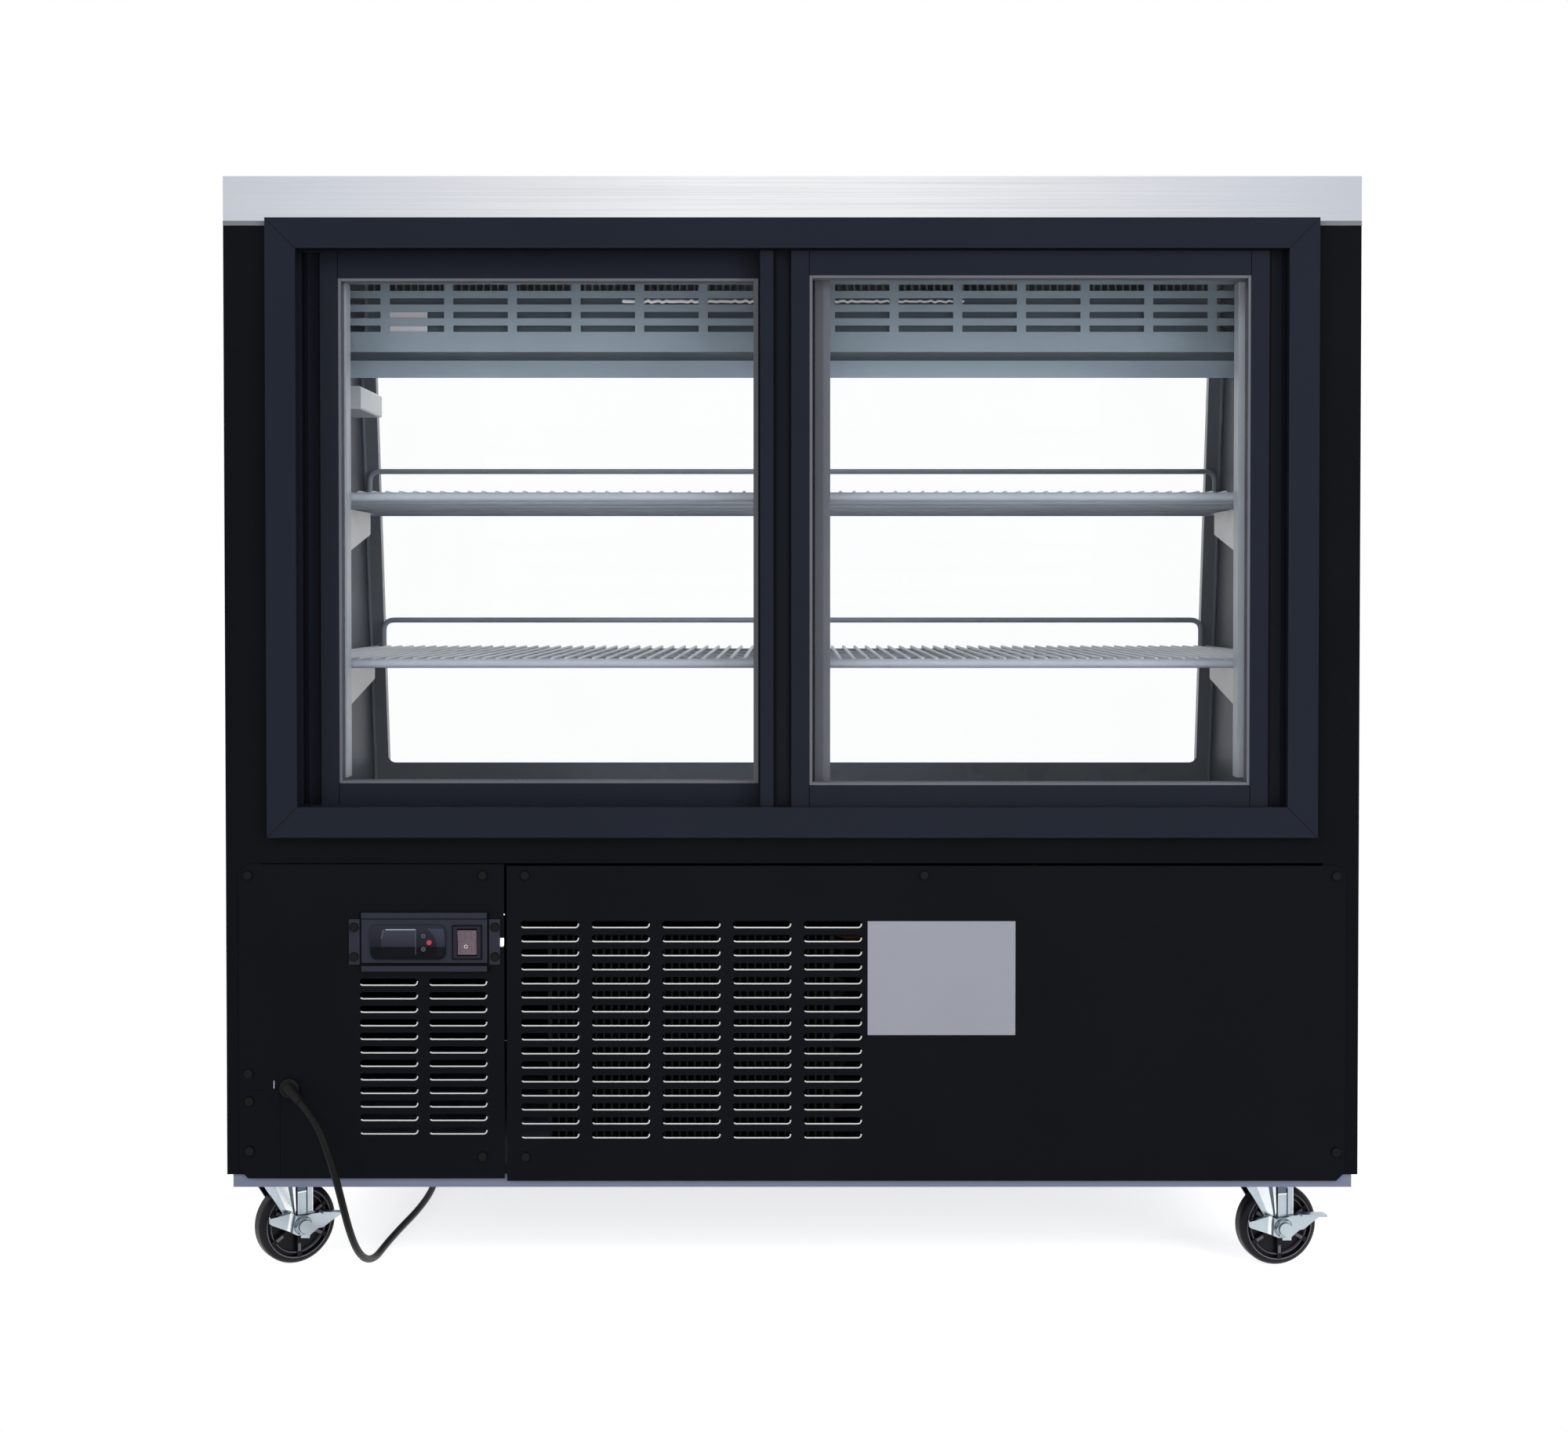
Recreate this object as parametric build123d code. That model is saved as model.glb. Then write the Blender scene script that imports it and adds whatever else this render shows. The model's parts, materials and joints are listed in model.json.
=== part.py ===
from build123d import *
import math
import os

# A refrigerated display case on castors, seen from the side the operator serves from.
# Millimetres. X runs to the right as the operator sees it, +Y is the customer side, Z is up.
# The origin is on the floor under the middle of the case.

# Overall sizes
case_width = 1200.0
body_depth = 660.0
apron_height = 47.0
chamber_height = 650.0
beam_height = 28.0
machine_height = 331.0
base_height = 14.0
castor_height = 105.0

# Levels, worked out from the floor up
z_base = castor_height
z_body = z_base + base_height
z_beam = z_body + machine_height
z_deck = z_beam + beam_height
z_roof = z_deck + chamber_height
z_top = z_roof + apron_height

# Planes and half widths
y_rear = -body_depth / 2
y_front = body_depth / 2
x_side = case_width / 2
side_thickness = 38.0
x_wall = x_side - side_thickness
liner_thickness = 1.0
x_liner = x_wall - liner_thickness

# Clearances
face_gap = 0.3
slide_gap = 1.0
running_gap = 0.05

# Base pan
base_inset = 6.0
base_setback = 2.0
base_sheet = 2.0
cross_rail_width = 18.0

# Side panels and the slanted front
glass_foot_setback = 40.0
glass_lean = 100.0
ledge_rise = 28.0

# Front glass
outer_pane = 6.0
inner_pane = 4.0
pane_gap = 14.0
glass_setback = 2.0
spacer_width = 20.0

# Roof and stainless top
ceiling_thickness = 18.0
top_sheet = 2.0
top_overhang = 5.0

# Beam under the doors
beam_sheet = 2.5

# Door frame
frame_side_gap = 46.0
frame_bar = 32.0
frame_proud = 10.0
frame_face = 8.0
frame_lap = 2.0
frame_depth = 54.0
track_depth_side = 15.0
track_depth_sill = 14.0
track_depth_head = 16.0

# Sliding doors
door_thickness = 18.0
door_overlap = 68.0
door_engagement = 14.0
door_sill_gap = 2.0
door_head_gap = 4.0
stile_width = 52.0
top_rail = 39.0
bottom_rail = 34.5
pull_offset = 14.0
pull_width = 19.0
pull_depth = 12.0
pull_groove = 3.0
pull_groove_depth = 14.0
door_glass = 12.0
glazing_pocket = 6.0
glide_length = 40.0
glide_inset = 60.0
door_stop = 8.0

# Deck and its pan
deck_pan_sheet = 1.0

# Evaporator housing
cover_setback = 95.0
cover_sheet = 1.5
cover_depth = 85.0
cover_drop = 109.0
slot_width = 60.0
slot_height = 7.0
slot_pitch_x = 70.0
slot_pitch_z = 15.0
slot_end_gap = 30.0
slot_rows = 5
slot_offset_x = 7.0
slot_first_up = 25.5
tray_depth = 130.0
tray_drop = 20.0
tray_sheet = 2.0
coil_thickness = 52.0
coil_height = 92.0
coil_end_gap = 91.0
fin_pitch = 8.0
fin_sheet = 2.0
coil_tube = 9.5
coil_gap = 6.0

# Fans
evaporator_fan_size = 92.0
evaporator_fan_spacing = 460.0
fan_thickness = 20.0
fan_hub_share = 0.3
fan_chord_share = 0.28
fan_motor_share = 0.36
fan_blades = 5
fan_shaft = 6.0
blade_sheet = 2.0
blade_tilt = 28.0
fan_frame = 10.0

# Lighting
lamp_end_gap = 61.0
lamp_width = 24.0
lamp_height = 14.0
lamp_chamfer = 4.6
driver_width = 37.0
driver_length = 131.0
driver_height = 28.0
driver_round = 3.0
driver_drop = 123.0
driver_glass_gap = 51.7

# Shelves
shelf_end_gap = 6.0
shelf_rear_setback = 74.0
upper_shelf_rise = 369.5
lower_shelf_rise = 188.0
upper_shelf_glass_gap = 10.2
lower_shelf_glass_gap = 13.1
shelf_rod = 8.0
shelf_wire = 4.0
shelf_pitch = 15.0
upper_guard_height = 46.0
lower_guard_height = 33.5
upper_guard_inset = 0.0
lower_guard_inset = 13.0
guard_rod = 7.0
guard_setback = 6.0
guard_bend = 14.0
shelf_cross_rods = 3

# Posts that hold the shelves, and their brackets
shelf_post_width = 81.0
shelf_post_depth = 22.0
post_sheet = 2.0
shelf_post_foot = 59.0
shelf_post_head = 58.0
bracket_inset = 31.0
bracket_sheet = 2.5
bracket_setback = 115.0
bracket_tip_height = 27.0
bracket_root_height = 92.0
bracket_slit_width = 1.5
bracket_slit_back = 82.0
bracket_slit_height = 16.0

# Rear access panels
panel_sheet = 1.5
panel_chamfer = 9.0
left_panel_inset = 13.7
right_panel_inset = 13.8
left_panel_width = 281.1
panel_split_gap = 2.7
left_panel_top_gap = 1.0
right_panel_top_gap = 2.8
left_panel_drop = 4.0
right_panel_drop = 6.5
louvre_width = 61.0
louvre_height = 7.0
left_louvre_in = 158.5
left_louvre_pitch = 73.4
left_louvre_columns = 2
left_louvre_rows = 12
left_louvre_down = 124.8
left_louvre_step = 14.38
right_louvre_in = 45.5
right_louvre_pitch = 74.9
right_louvre_columns = 5
right_louvre_rows = 16
right_louvre_down = 61.8
right_louvre_step = 14.9
cover_plate_width = 43.2
cover_plate_height = 94.2
panel_screw_head = 9.7
panel_screw_height = 3.0
panel_screw_round = 1.8
panel_screw_shank = 4.0
panel_screw_length = 10.0
panel_screw_offsets = [
    ("left", 10.2, "left_top", -11.6),
    ("split_left", -22.6, "left_top", -11.6),
    ("left", 10.1, "notch", 17.6),
    ("left", 10.8, "notch", -11.9),
    ("left", 10.8, "left_low", 29.6),
    ("split_left", -23.2, "left_low", 23.8),
    ("split_right", 19.5, "right_top", -9.8),
    ("split_right", 442.2, "right_top", -9.8),
    ("right", -10.4, "right_top", -10.7),
    ("split_right", 19.6, "right_low", 25.8),
    ("right", -9.7, "right_low", 30.8),
]

# Front panel and bumper
front_sheet = 1.5
bumper_depth = 10.0
bumper_height = 40.0
bumper_level = 190.0
bumper_round = 6.0

# Controls on the rear
control_in = 197.0
control_down = 82.1
control_width = 159.8
control_height = 62.0
control_sheet = 2.0
bezel_width = 132.8
bezel_height = 48.6
bezel_proud = 1.0
lip_height = 5.8
lip_proud = 2.5
tab_height = 48.0
tab_screw_inset = 5.3
tab_screw_spacing = 31.4
controller_shift = -16.9
controller_width = 79.4
controller_height = 36.3
controller_proud = 2.5
controller_round = 7.2
controller_body_depth = 55.0
controller_body_width = 71.0
controller_body_height = 29.0
button_diameter = 5.6
button_proud = 0.8
button_travel = 0.5
button_depth = 4.0
button_places = {"up": (16.5, 7.0), "set": (22.5, 0.0), "down": (16.5, -7.0)}
switch_shift = 45.5
switch_width = 31.2
switch_height = 36.3
switch_proud = 2.0
switch_body_depth = 22.0
switch_wall = 2.0
rocker_width = 20.0
rocker_height = 27.5
rocker_throw = 12.0
rocker_radius = 14.0
rocker_pivot_depth = 4.0
rocker_dip = 2.0
rocker_back = 5.0
rocker_pin = 3.0

# Cord
cord_diameter = 7.8
gland_in = 53.7
gland_rise = 2.6
gland_diameter = 21.0
gland_flange = 6.0
relief_length = 24.0
relief_heading = (0.65, -0.60, -0.45)
coil_turns = 5.5
coil_middle_radius = 46.0
coil_air = 0.7
coil_place = (-396.0, 178.0)
coil_lead_in = 50.0
coil_lead_out = 36.0
coil_samples = 720
floor_air = 0.2
gland_hole = 14.0
relief_run = 32.0
bend_share = 0.45
relief_root = 13.0
relief_tip = 9.0
plug_length = 38.0
plug_width = 27.0
plug_round = 5.4
plug_boot = 16.0
boot_start = 10.2
boot_end = 16.2
plug_pin_length = 18.0
pin_spacing = 12.7
pin_sheet = 1.5
pin_width = 6.3
earth_pin = 4.8
earth_pin_rise = 6.5

# Castors
wheel_diameter = 89.0
wheel_width = 23.0
wheel_trail = 12.0
wheel_hub = 26.0
wheel_dish = 6.0
wheel_rim = 7.5
wheel_round = 7.4
wheel_spokes = 6
spoke_width = 5.0
spoke_turn = 30.0
axle_diameter = 10.0
axle_head = 19.0
axle_head_height = 4.0
axle_cap = 13.5
axle_cap_height = 2.6
fork_sheet = 3.0
fork_inside = 25.0
fork_crown_gap = 5.0
fork_crown_back = 32.0
fork_crown_front = 25.5
fork_boss = 9.0
fork_leg_back = 5.5
king_pin = 12.0
king_head = 18.0
king_head_height = 2.0
plate_size = 60.0
plate_sheet = 3.0
swivel_race = 44.0
castor_setback = 75.0
castor_insets = {
    "rear_left": (-1, 42.6, -1, 37.5),
    "rear_right": (1, 81.0, -1, 11.5),
    "front_left": (-1, 70.0, 1, 200.0),
    "front_right": (1, 70.0, 1, 160.0),
}
pedal_leans = {"rear_left": 11.5, "rear_right": 3.7}
pedal_sheet = 2.5
pedal_standoff = 3.0
pedal_tread_width = 9.0
pedal_tread_level = 17.0
pedal_tread_start = 17.0
pedal_tread_end = 46.5
pedal_outline = [
    (-40.3, 7.5), (-39.1, 0.5), (-36.5, -1), (-15.7, -7), (-4.9, -11), (0, -11), (0, -13.7), (10.4, -13.7),
    (10.4, -10.2), (19.2, -2.4), (24.2, -1.6), (36.6, 8.5), (46.5, 15), (46.5, 17), (17, 17), (16.5, 13.9),
    (8.3, 12.8), (3.4, 10.8), (-8.2, 9.3), (-14.9, 11.6), (-18.3, 13.2), (-31, 9.6),
]

# Cooling machine under the deck
compressor_in = 270.0
compressor_y = -30.0
compressor_diameter = 150.0
compressor_height = 190.0
compressor_can = 135.0
compressor_dome = 37.0
compressor_foot_inset = 15.0
compressor_foot = 18.0
compressor_sheet = 4.0
terminal_box_depth = 30.0
condenser_in = 194.5
condenser_setback = 10.0
condenser_width = 300.0
condenser_height = 240.0
condenser_depth = 66.0
condenser_fan_size = 200.0
shroud_sheet = 2.0
machine_foot = 12.0
drier_diameter = 30.0
drier_length = 110.0
pipe_diameter = 9.5
pipe_bend = 22.0
pipe_standoff = 60.0
pipe_reach = 50.0
drier_rise = 40.0
evaporator_bends = 3
condenser_bends = 6


def block(x0, x1, y0, y1, z0, z1):
    """A box between two opposite corners."""
    middle = ((x0 + x1) / 2, (y0 + y1) / 2, (z0 + z1) / 2)
    return Pos(*middle) * Box(x1 - x0, y1 - y0, z1 - z0)


def profile_x(points, x0, x1):
    """A closed outline of (y, z) points, drawn out from x0 to x1."""
    face = make_face(Polyline([(x0, y, z) for y, z in points], close=True))
    return extrude(face, amount=x1 - x0, dir=(1, 0, 0))


def rod(start, end, diameter):
    """A round bar from one point to another."""
    line = Vector(*end) - Vector(*start)
    plane = Plane(origin=start, z_dir=line)
    return plane * Cylinder(diameter / 2, line.length, align=(Align.CENTER, Align.CENTER, Align.MIN))


def cone_between(start, end, diameter_start, diameter_end):
    """A tapered round piece from one point to another."""
    line = Vector(*end) - Vector(*start)
    plane = Plane(origin=start, z_dir=line)
    align = (Align.CENTER, Align.CENTER, Align.MIN)
    return plane * Cone(diameter_start / 2, diameter_end / 2, line.length, align=align)


def front_y(z):
    """The slanted front line of the side panels, at a height over the deck."""
    return y_front - glass_foot_setback - glass_lean * (z - z_deck) / chamber_height


def slanted(offset, thickness, z0, z1, x0, x1):
    """A slab parallel to the slanted front, offset inwards from it."""
    near = [(front_y(z) - offset, z) for z in (z0, z1)]
    far = [(front_y(z) - offset - thickness, z) for z in (z1, z0)]
    return profile_x(near + far, x0, x1)


# The case's own structure

castor_places = {
    name: (side * (x_side - inset), end * (y_front - castor_setback), turn)
    for name, (side, inset, end, turn) in castor_insets.items()
}
y_chamber = y_rear - frame_proud + frame_depth
glass_back = glass_setback + outer_pane + pane_gap + inner_pane
ceiling_level = z_roof - ceiling_thickness


def base_frame():
    """A folded pan under the case, with two rails across it over each pair of castors."""
    half = x_side - base_inset
    reach = body_depth / 2 - base_setback
    pan = block(-half, half, -reach, reach, z_base, z_body)
    hollow_half = half - base_sheet
    hollow_reach = reach - base_sheet
    under_sheet = z_body - base_sheet
    pan -= block(-hollow_half, hollow_half, -hollow_reach, hollow_reach, z_base, under_sheet)
    rail_reach = (plate_size - cross_rail_width) / 2
    for castor_y in sorted({place[1] for place in castor_places.values()}):
        for rail_y in (castor_y - rail_reach, castor_y + rail_reach):
            near = rail_y - cross_rail_width / 2
            far = rail_y + cross_rail_width / 2
            pan += block(-hollow_half, hollow_half, near, far, z_base, under_sheet)
    return pan


def side_panel(sign):
    """One insulated end panel, whose front edge leans with the glass."""
    outline = [
        (y_rear, z_body),
        (y_front, z_body),
        (y_front, z_deck - ledge_rise),
        (front_y(z_deck), z_deck),
        (front_y(z_roof), z_roof),
        (y_rear, z_roof),
    ]
    x0, x1 = sorted((sign * x_wall, sign * x_side))
    return profile_x(outline, x0, x1)


def chamber_liner():
    """The sheets that line the cold chamber: one on each end panel and the pan on the deck."""
    y_end = front_y(z_deck) - glass_setback
    pan = block(-x_wall, x_wall, y_chamber, y_end, z_deck - deck_pan_sheet, z_deck)
    return side_liner(-1), side_liner(1), pan


def side_liner(sign):
    """The sheet that lines one end panel inside the cold chamber."""
    outline = [
        (y_chamber, z_deck),
        (front_y(z_deck) - glass_back, z_deck),
        (front_y(ceiling_level) - glass_back, ceiling_level),
        (y_chamber, ceiling_level),
    ]
    x0, x1 = sorted((sign * x_liner, sign * x_wall))
    return profile_x(outline, x0, x1)


def rear_frame():
    """The beam under the doors and the two slim posts beside their frame."""
    x_frame = x_side - frame_side_gap
    beam = block(-x_wall, x_wall, y_rear, y_chamber, z_beam, z_deck)
    beam -= block(-x_wall, x_wall, y_rear + beam_sheet, y_chamber - beam_sheet,
                  z_beam + beam_sheet, z_deck - beam_sheet)
    left = block(-x_wall, -x_frame, y_rear, y_chamber, z_deck, z_roof)
    right = block(x_frame, x_wall, y_rear, y_chamber, z_deck, z_roof)
    return beam, left, right


def insulated_deck():
    """The foamed floor of the chamber, which is the machine room's ceiling."""
    y_end = front_y(z_deck) - glass_setback
    return block(-x_wall, x_wall, y_chamber, y_end, z_beam, z_deck - deck_pan_sheet)


def front_panel():
    """The lower front sheet on the customer side, bent back as a ledge up to the glass."""
    ledge_run = glass_foot_setback
    slope = ledge_rise / ledge_run
    fall = front_sheet * math.hypot(ledge_run, ledge_rise) / ledge_run
    z_knee = z_deck - ledge_rise
    y_foot = y_front - glass_foot_setback
    outline = [
        (y_front, z_body),
        (y_front, z_knee),
        (y_foot, z_deck),
        (y_foot, z_deck - fall),
        (y_front - front_sheet, z_knee + slope * front_sheet - fall),
        (y_front - front_sheet, z_body),
    ]
    return profile_x(outline, -x_wall, x_wall)


def bumper():
    """A rounded strip along the customer side that takes knocks."""
    low = z_body + bumper_level - bumper_height / 2
    strip = block(-x_side, x_side, y_front, y_front + bumper_depth, low, low + bumper_height)
    return fillet(strip.edges().filter_by(Axis.X).group_by(Axis.Y)[-1], bumper_round)


def front_glass_outer():
    """The outer pane of the slanted front."""
    return slanted(glass_setback, outer_pane, z_deck, z_roof, -x_wall, x_wall)


def front_glass_inner():
    """The inner pane of the slanted front."""
    offset = glass_setback + outer_pane + pane_gap
    return slanted(offset, inner_pane, z_deck, z_roof, -x_wall, x_wall)


def glass_spacer():
    """The four spacer bars between the two front panes."""
    offset = glass_setback + outer_pane
    z_low = z_deck + spacer_width
    z_high = z_roof - spacer_width
    x_bar = x_wall - spacer_width
    sill = slanted(offset, pane_gap, z_deck, z_low, -x_wall, x_wall)
    head = slanted(offset, pane_gap, z_high, z_roof, -x_wall, x_wall)
    left = slanted(offset, pane_gap, z_low, z_high, -x_wall, -x_bar)
    right = slanted(offset, pane_gap, z_low, z_high, x_bar, x_wall)
    return sill, head, left, right


def stainless_top():
    """The stainless work top, a shallow pan turned down over the roof on all four sides."""
    y_end = front_y(z_roof) + top_overhang
    pan = block(-x_side, x_side, y_rear, y_end, z_roof, z_top)
    hollow = block(
        -x_side + top_sheet, x_side - top_sheet,
        y_rear + top_sheet, y_end - top_sheet,
        z_roof, z_top - top_sheet,
    )
    return pan - hollow


def roof_core():
    """The insulated roof: a slab under the stainless top, and the chamber's ceiling below it."""
    y_end = front_y(z_roof) + top_overhang - top_sheet
    half = x_side - top_sheet
    slab = block(-half, half, y_rear + top_sheet, y_end, z_roof, z_top - top_sheet)
    y_glass = front_y(z_roof) - glass_back
    ceiling = block(-x_wall, x_wall, y_chamber, y_glass, ceiling_level, z_roof)
    return slab + ceiling


# The sliding doors and their frame

x_frame = x_side - frame_side_gap
x_opening = x_frame - frame_bar
z_sill = z_deck + frame_bar
z_head = z_roof + frame_lap - frame_bar
y_face = y_rear - frame_proud
track_width = door_thickness + 2 * slide_gap
y_outer_track = y_face + frame_face
y_inner_track = y_outer_track + track_width + 2 * slide_gap
door_width = x_opening + door_engagement + door_overlap / 2
door_low = z_sill - track_depth_sill + door_sill_gap
door_high = z_head + track_depth_head - door_head_gap


def tracks(x0, x1, z0, z1):
    """The two grooves that the doors run in, as cutting boxes."""
    cuts = []
    for near in (y_outer_track, y_inner_track):
        cuts.append(block(x0, x1, near, near + track_width, z0, z1))
    return cuts


def door_frame():
    """The dark frame of the door opening: sill, head and two jambs, each grooved twice."""
    y_back = y_face + frame_depth
    track_low = z_sill - track_depth_sill
    track_high = z_head + track_depth_head
    sill = block(-x_opening, x_opening, y_face, y_back, z_deck, z_sill)
    head = block(-x_opening, x_opening, y_face, y_back, z_head, z_roof)
    head += block(-x_opening, x_opening, y_face, y_outer_track, z_roof, z_roof + frame_lap)
    for cut in tracks(-x_opening, x_opening, track_low, z_sill):
        sill -= cut
    for cut in tracks(-x_opening, x_opening, z_head, track_high):
        head -= cut
    jambs = []
    for sign in (-1, 1):
        x0, x1 = sorted((sign * x_opening, sign * x_frame))
        jamb = block(x0, x1, y_face, y_back, z_deck, z_roof)
        jamb += block(x0, x1, y_face, y_outer_track, z_roof, z_roof + frame_lap)
        x0, x1 = sorted((sign * x_opening, sign * (x_opening + track_depth_side)))
        for cut in tracks(x0, x1, track_low, track_high):
            jamb -= cut
        jambs.append(jamb)
    return sill, head, *jambs


def from_edge(x_edge, sign, start, end, y0, y1, z0, z1):
    """A box between two distances inwards from a door's edge."""
    x0, x1 = sorted((x_edge + sign * start, x_edge + sign * end))
    return block(x0, x1, y0, y1, z0, z1)


def door_stile(x_edge, sign, y_near):
    """One upright of a door in three bars: the edge, the floor of the finger pull, and the pane's holder."""
    y_far = y_near + door_thickness
    y_middle = (y_near + y_far) / 2
    y_floor = y_near + pull_groove_depth
    pull_end = pull_offset + pull_width
    edge = from_edge(x_edge, sign, 0, pull_offset, y_near, y_far, door_low, door_high)
    floor = from_edge(x_edge, sign, pull_offset, pull_end, y_floor, y_far, door_low, door_high)
    floor += from_edge(
        x_edge, sign, pull_offset + pull_groove, pull_end - pull_groove,
        y_near + pull_depth, y_floor, door_low, door_high,
    )
    holder = from_edge(x_edge, sign, pull_end, stile_width, y_near, y_far, door_low, door_high)
    holder -= from_edge(
        x_edge, sign, stile_width - glazing_pocket, stile_width,
        y_middle - door_glass / 2, y_middle + door_glass / 2,
        door_low + bottom_rail - glazing_pocket, door_high - top_rail + glazing_pocket,
    )
    return edge, floor, holder


def door_bars(x_left, y_near):
    """One door's frame: two stiles with a finger pull down each, two rails and two glides."""
    y_far = y_near + door_thickness
    x_right = x_left + door_width
    y_middle = (y_near + y_far) / 2
    pocket_near = y_middle - door_glass / 2
    pocket_far = y_middle + door_glass / 2
    bars = [*door_stile(x_left, 1, y_near), *door_stile(x_right, -1, y_near)]
    x0 = x_left + stile_width
    x1 = x_right - stile_width
    sight_low = door_low + bottom_rail
    sight_high = door_high - top_rail
    lower = block(x0, x1, y_near, y_far, door_low, sight_low)
    lower -= block(x0, x1, pocket_near, pocket_far, sight_low - glazing_pocket, sight_low)
    upper = block(x0, x1, y_near, y_far, sight_high, door_high)
    upper -= block(x0, x1, pocket_near, pocket_far, sight_high, sight_high + glazing_pocket)
    bars += [lower, upper]
    glide_foot = door_low - door_sill_gap + face_gap
    for x_glide in (x_left + glide_inset, x_right - glide_inset):
        half = glide_length / 2
        quarter = door_thickness / 4
        bars.append(block(
            x_glide - half, x_glide + half,
            y_middle - quarter, y_middle + quarter,
            glide_foot, door_low,
        ))
    return bars


def door_pane(x_left, y_near):
    """One door's sealed glass unit, held in the pockets of its frame."""
    reach = stile_width - glazing_pocket
    y0 = y_near + (door_thickness - door_glass) / 2
    z0 = door_low + bottom_rail - glazing_pocket
    z1 = door_high - top_rail + glazing_pocket
    return block(x_left + reach, x_left + door_width - reach, y0, y0 + door_glass, z0, z1)


def comb(x0, x1, y0, y1, z0, z1):
    """A finned coil block: upright fins on a thin web, with a plate at each end."""
    count = int((x1 - x0 - fin_sheet) // fin_pitch)
    step = (x1 - x0 - fin_sheet) / count
    y_web = y1 - fin_sheet
    outline = [(x1, y1), (x0, y1)]
    for index in range(count + 1):
        x = x0 + index * step
        outline += [(x, y0), (x + fin_sheet, y0)]
        if index < count:
            outline += [(x + fin_sheet, y_web), (x + step, y_web)]
    face = make_face(Polyline([(x, y, z0) for x, y in outline], close=True))
    return extrude(face, amount=z1 - z0, dir=(0, 0, 1))


def return_bends(x, y, z, height, count):
    """The bends at a coil's end that join its tubes in pairs, bulging to the right."""
    bends = []
    spacing = height / count
    for index in range(count):
        low = z + spacing * (index + 0.25)
        high = low + spacing / 2
        section = Plane(origin=(x, y, low), z_dir=(1, 0, 0)) * Circle(coil_tube / 2)
        axis = Axis((x, y, (low + high) / 2), (0, -1, 0))
        bends.append(revolve(section, axis=axis, revolution_arc=180))
    return bends


def panel_cuts(centres, width, height, y0, y1, rounded):
    """Cutting solids for the slots of a sheet that faces the operator."""
    outline = SlotOverall(width, height) if rounded else Rectangle(width, height)
    cuts = []
    for x, z in centres:
        plane = Plane(origin=(x, y0, z), z_dir=(0, 1, 0), x_dir=(1, 0, 0))
        cuts.append(extrude(plane * outline, amount=y1 - y0))
    return cuts


# The cooling inside the chamber

y_cover = y_rear + cover_setback
z_cover = ceiling_level - cover_drop
y_tray = y_cover + cover_depth
y_fan_plate = y_tray + fan_frame
z_fan = (z_cover + ceiling_level) / 2
y_evaporator_fan = y_fan_plate + tray_sheet + face_gap
slot_columns = int(2 * (x_liner - slot_end_gap) // slot_pitch_x)


def evaporator_cover():
    """The slotted sheet in front of the evaporator and its flat underside."""
    sheet = block(-x_liner, x_liner, y_cover, y_cover + cover_sheet, z_cover, ceiling_level)
    centres = []
    for column in range(slot_columns):
        x = slot_offset_x + (column - (slot_columns - 1) / 2) * slot_pitch_x
        for row in range(slot_rows):
            centres.append((x, z_cover + slot_first_up + row * slot_pitch_z))
    sheet -= panel_cuts(centres, slot_width, slot_height, y_cover, y_cover + cover_sheet, False)
    sheet += block(-x_liner, x_liner, y_cover + cover_sheet, y_tray, z_cover, z_cover + cover_sheet)
    return sheet


def evaporator_coil():
    """The finned coil behind the slots, its end plates and return bends."""
    y0 = y_cover + cover_sheet + coil_gap
    y1 = y0 + coil_thickness
    z0 = z_cover + cover_sheet + coil_gap
    z1 = z0 + coil_height
    half = x_liner - coil_end_gap
    fins = comb(-half, half, y0, y1, z0, z1)
    left = block(-half - fin_sheet, -half, y0, y1, z0, z1)
    right = block(half, half + fin_sheet, y0, y1, z0, z1)
    bends = return_bends(half + fin_sheet, (y0 + y1) / 2, z0, coil_height, evaporator_bends)
    return fins, left, right, *bends


def fan_motor(x, y, z, z_foot, size):
    """A small motor behind a fan, on an upright bracket, with its shaft towards the operator."""
    body = size * fan_motor_share
    y_body = y + fan_thickness + face_gap
    motor = rod((x, y_body, z), (x, y_body + body, z), body)
    shaft = rod((x, y, z), (x, y_body, z), fan_shaft)
    y_bracket = y_body + body / 2
    width = body / 3
    bracket = block(x - width, x + width, y_bracket - fan_frame / 4, y_bracket + fan_frame / 4, z_foot, z)
    return motor + shaft + bracket


def evaporator_tray():
    """The drip tray, with the upright plate for the fans and their motors standing in it."""
    y_end = y_tray + tray_depth
    z_low = z_cover - tray_drop
    pan = block(-x_liner, x_liner, y_tray, y_end, z_low, z_cover)
    inner_half = x_liner - tray_sheet
    pan -= block(
        -inner_half, inner_half, y_tray + tray_sheet, y_end - tray_sheet, z_low + tray_sheet, z_cover
    )
    plate = block(-inner_half, inner_half, y_fan_plate, y_fan_plate + tray_sheet,
                  z_low + tray_sheet, ceiling_level)
    motors = []
    for x in (-evaporator_fan_spacing / 2, evaporator_fan_spacing / 2):
        hole = evaporator_fan_size + 2 * slide_gap
        plate -= rod((x, y_fan_plate, z_fan), (x, y_fan_plate + tray_sheet, z_fan), hole)
        motors.append(fan_motor(x, y_evaporator_fan, z_fan, z_low + tray_sheet, evaporator_fan_size))
    return pan + plate, *motors


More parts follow.
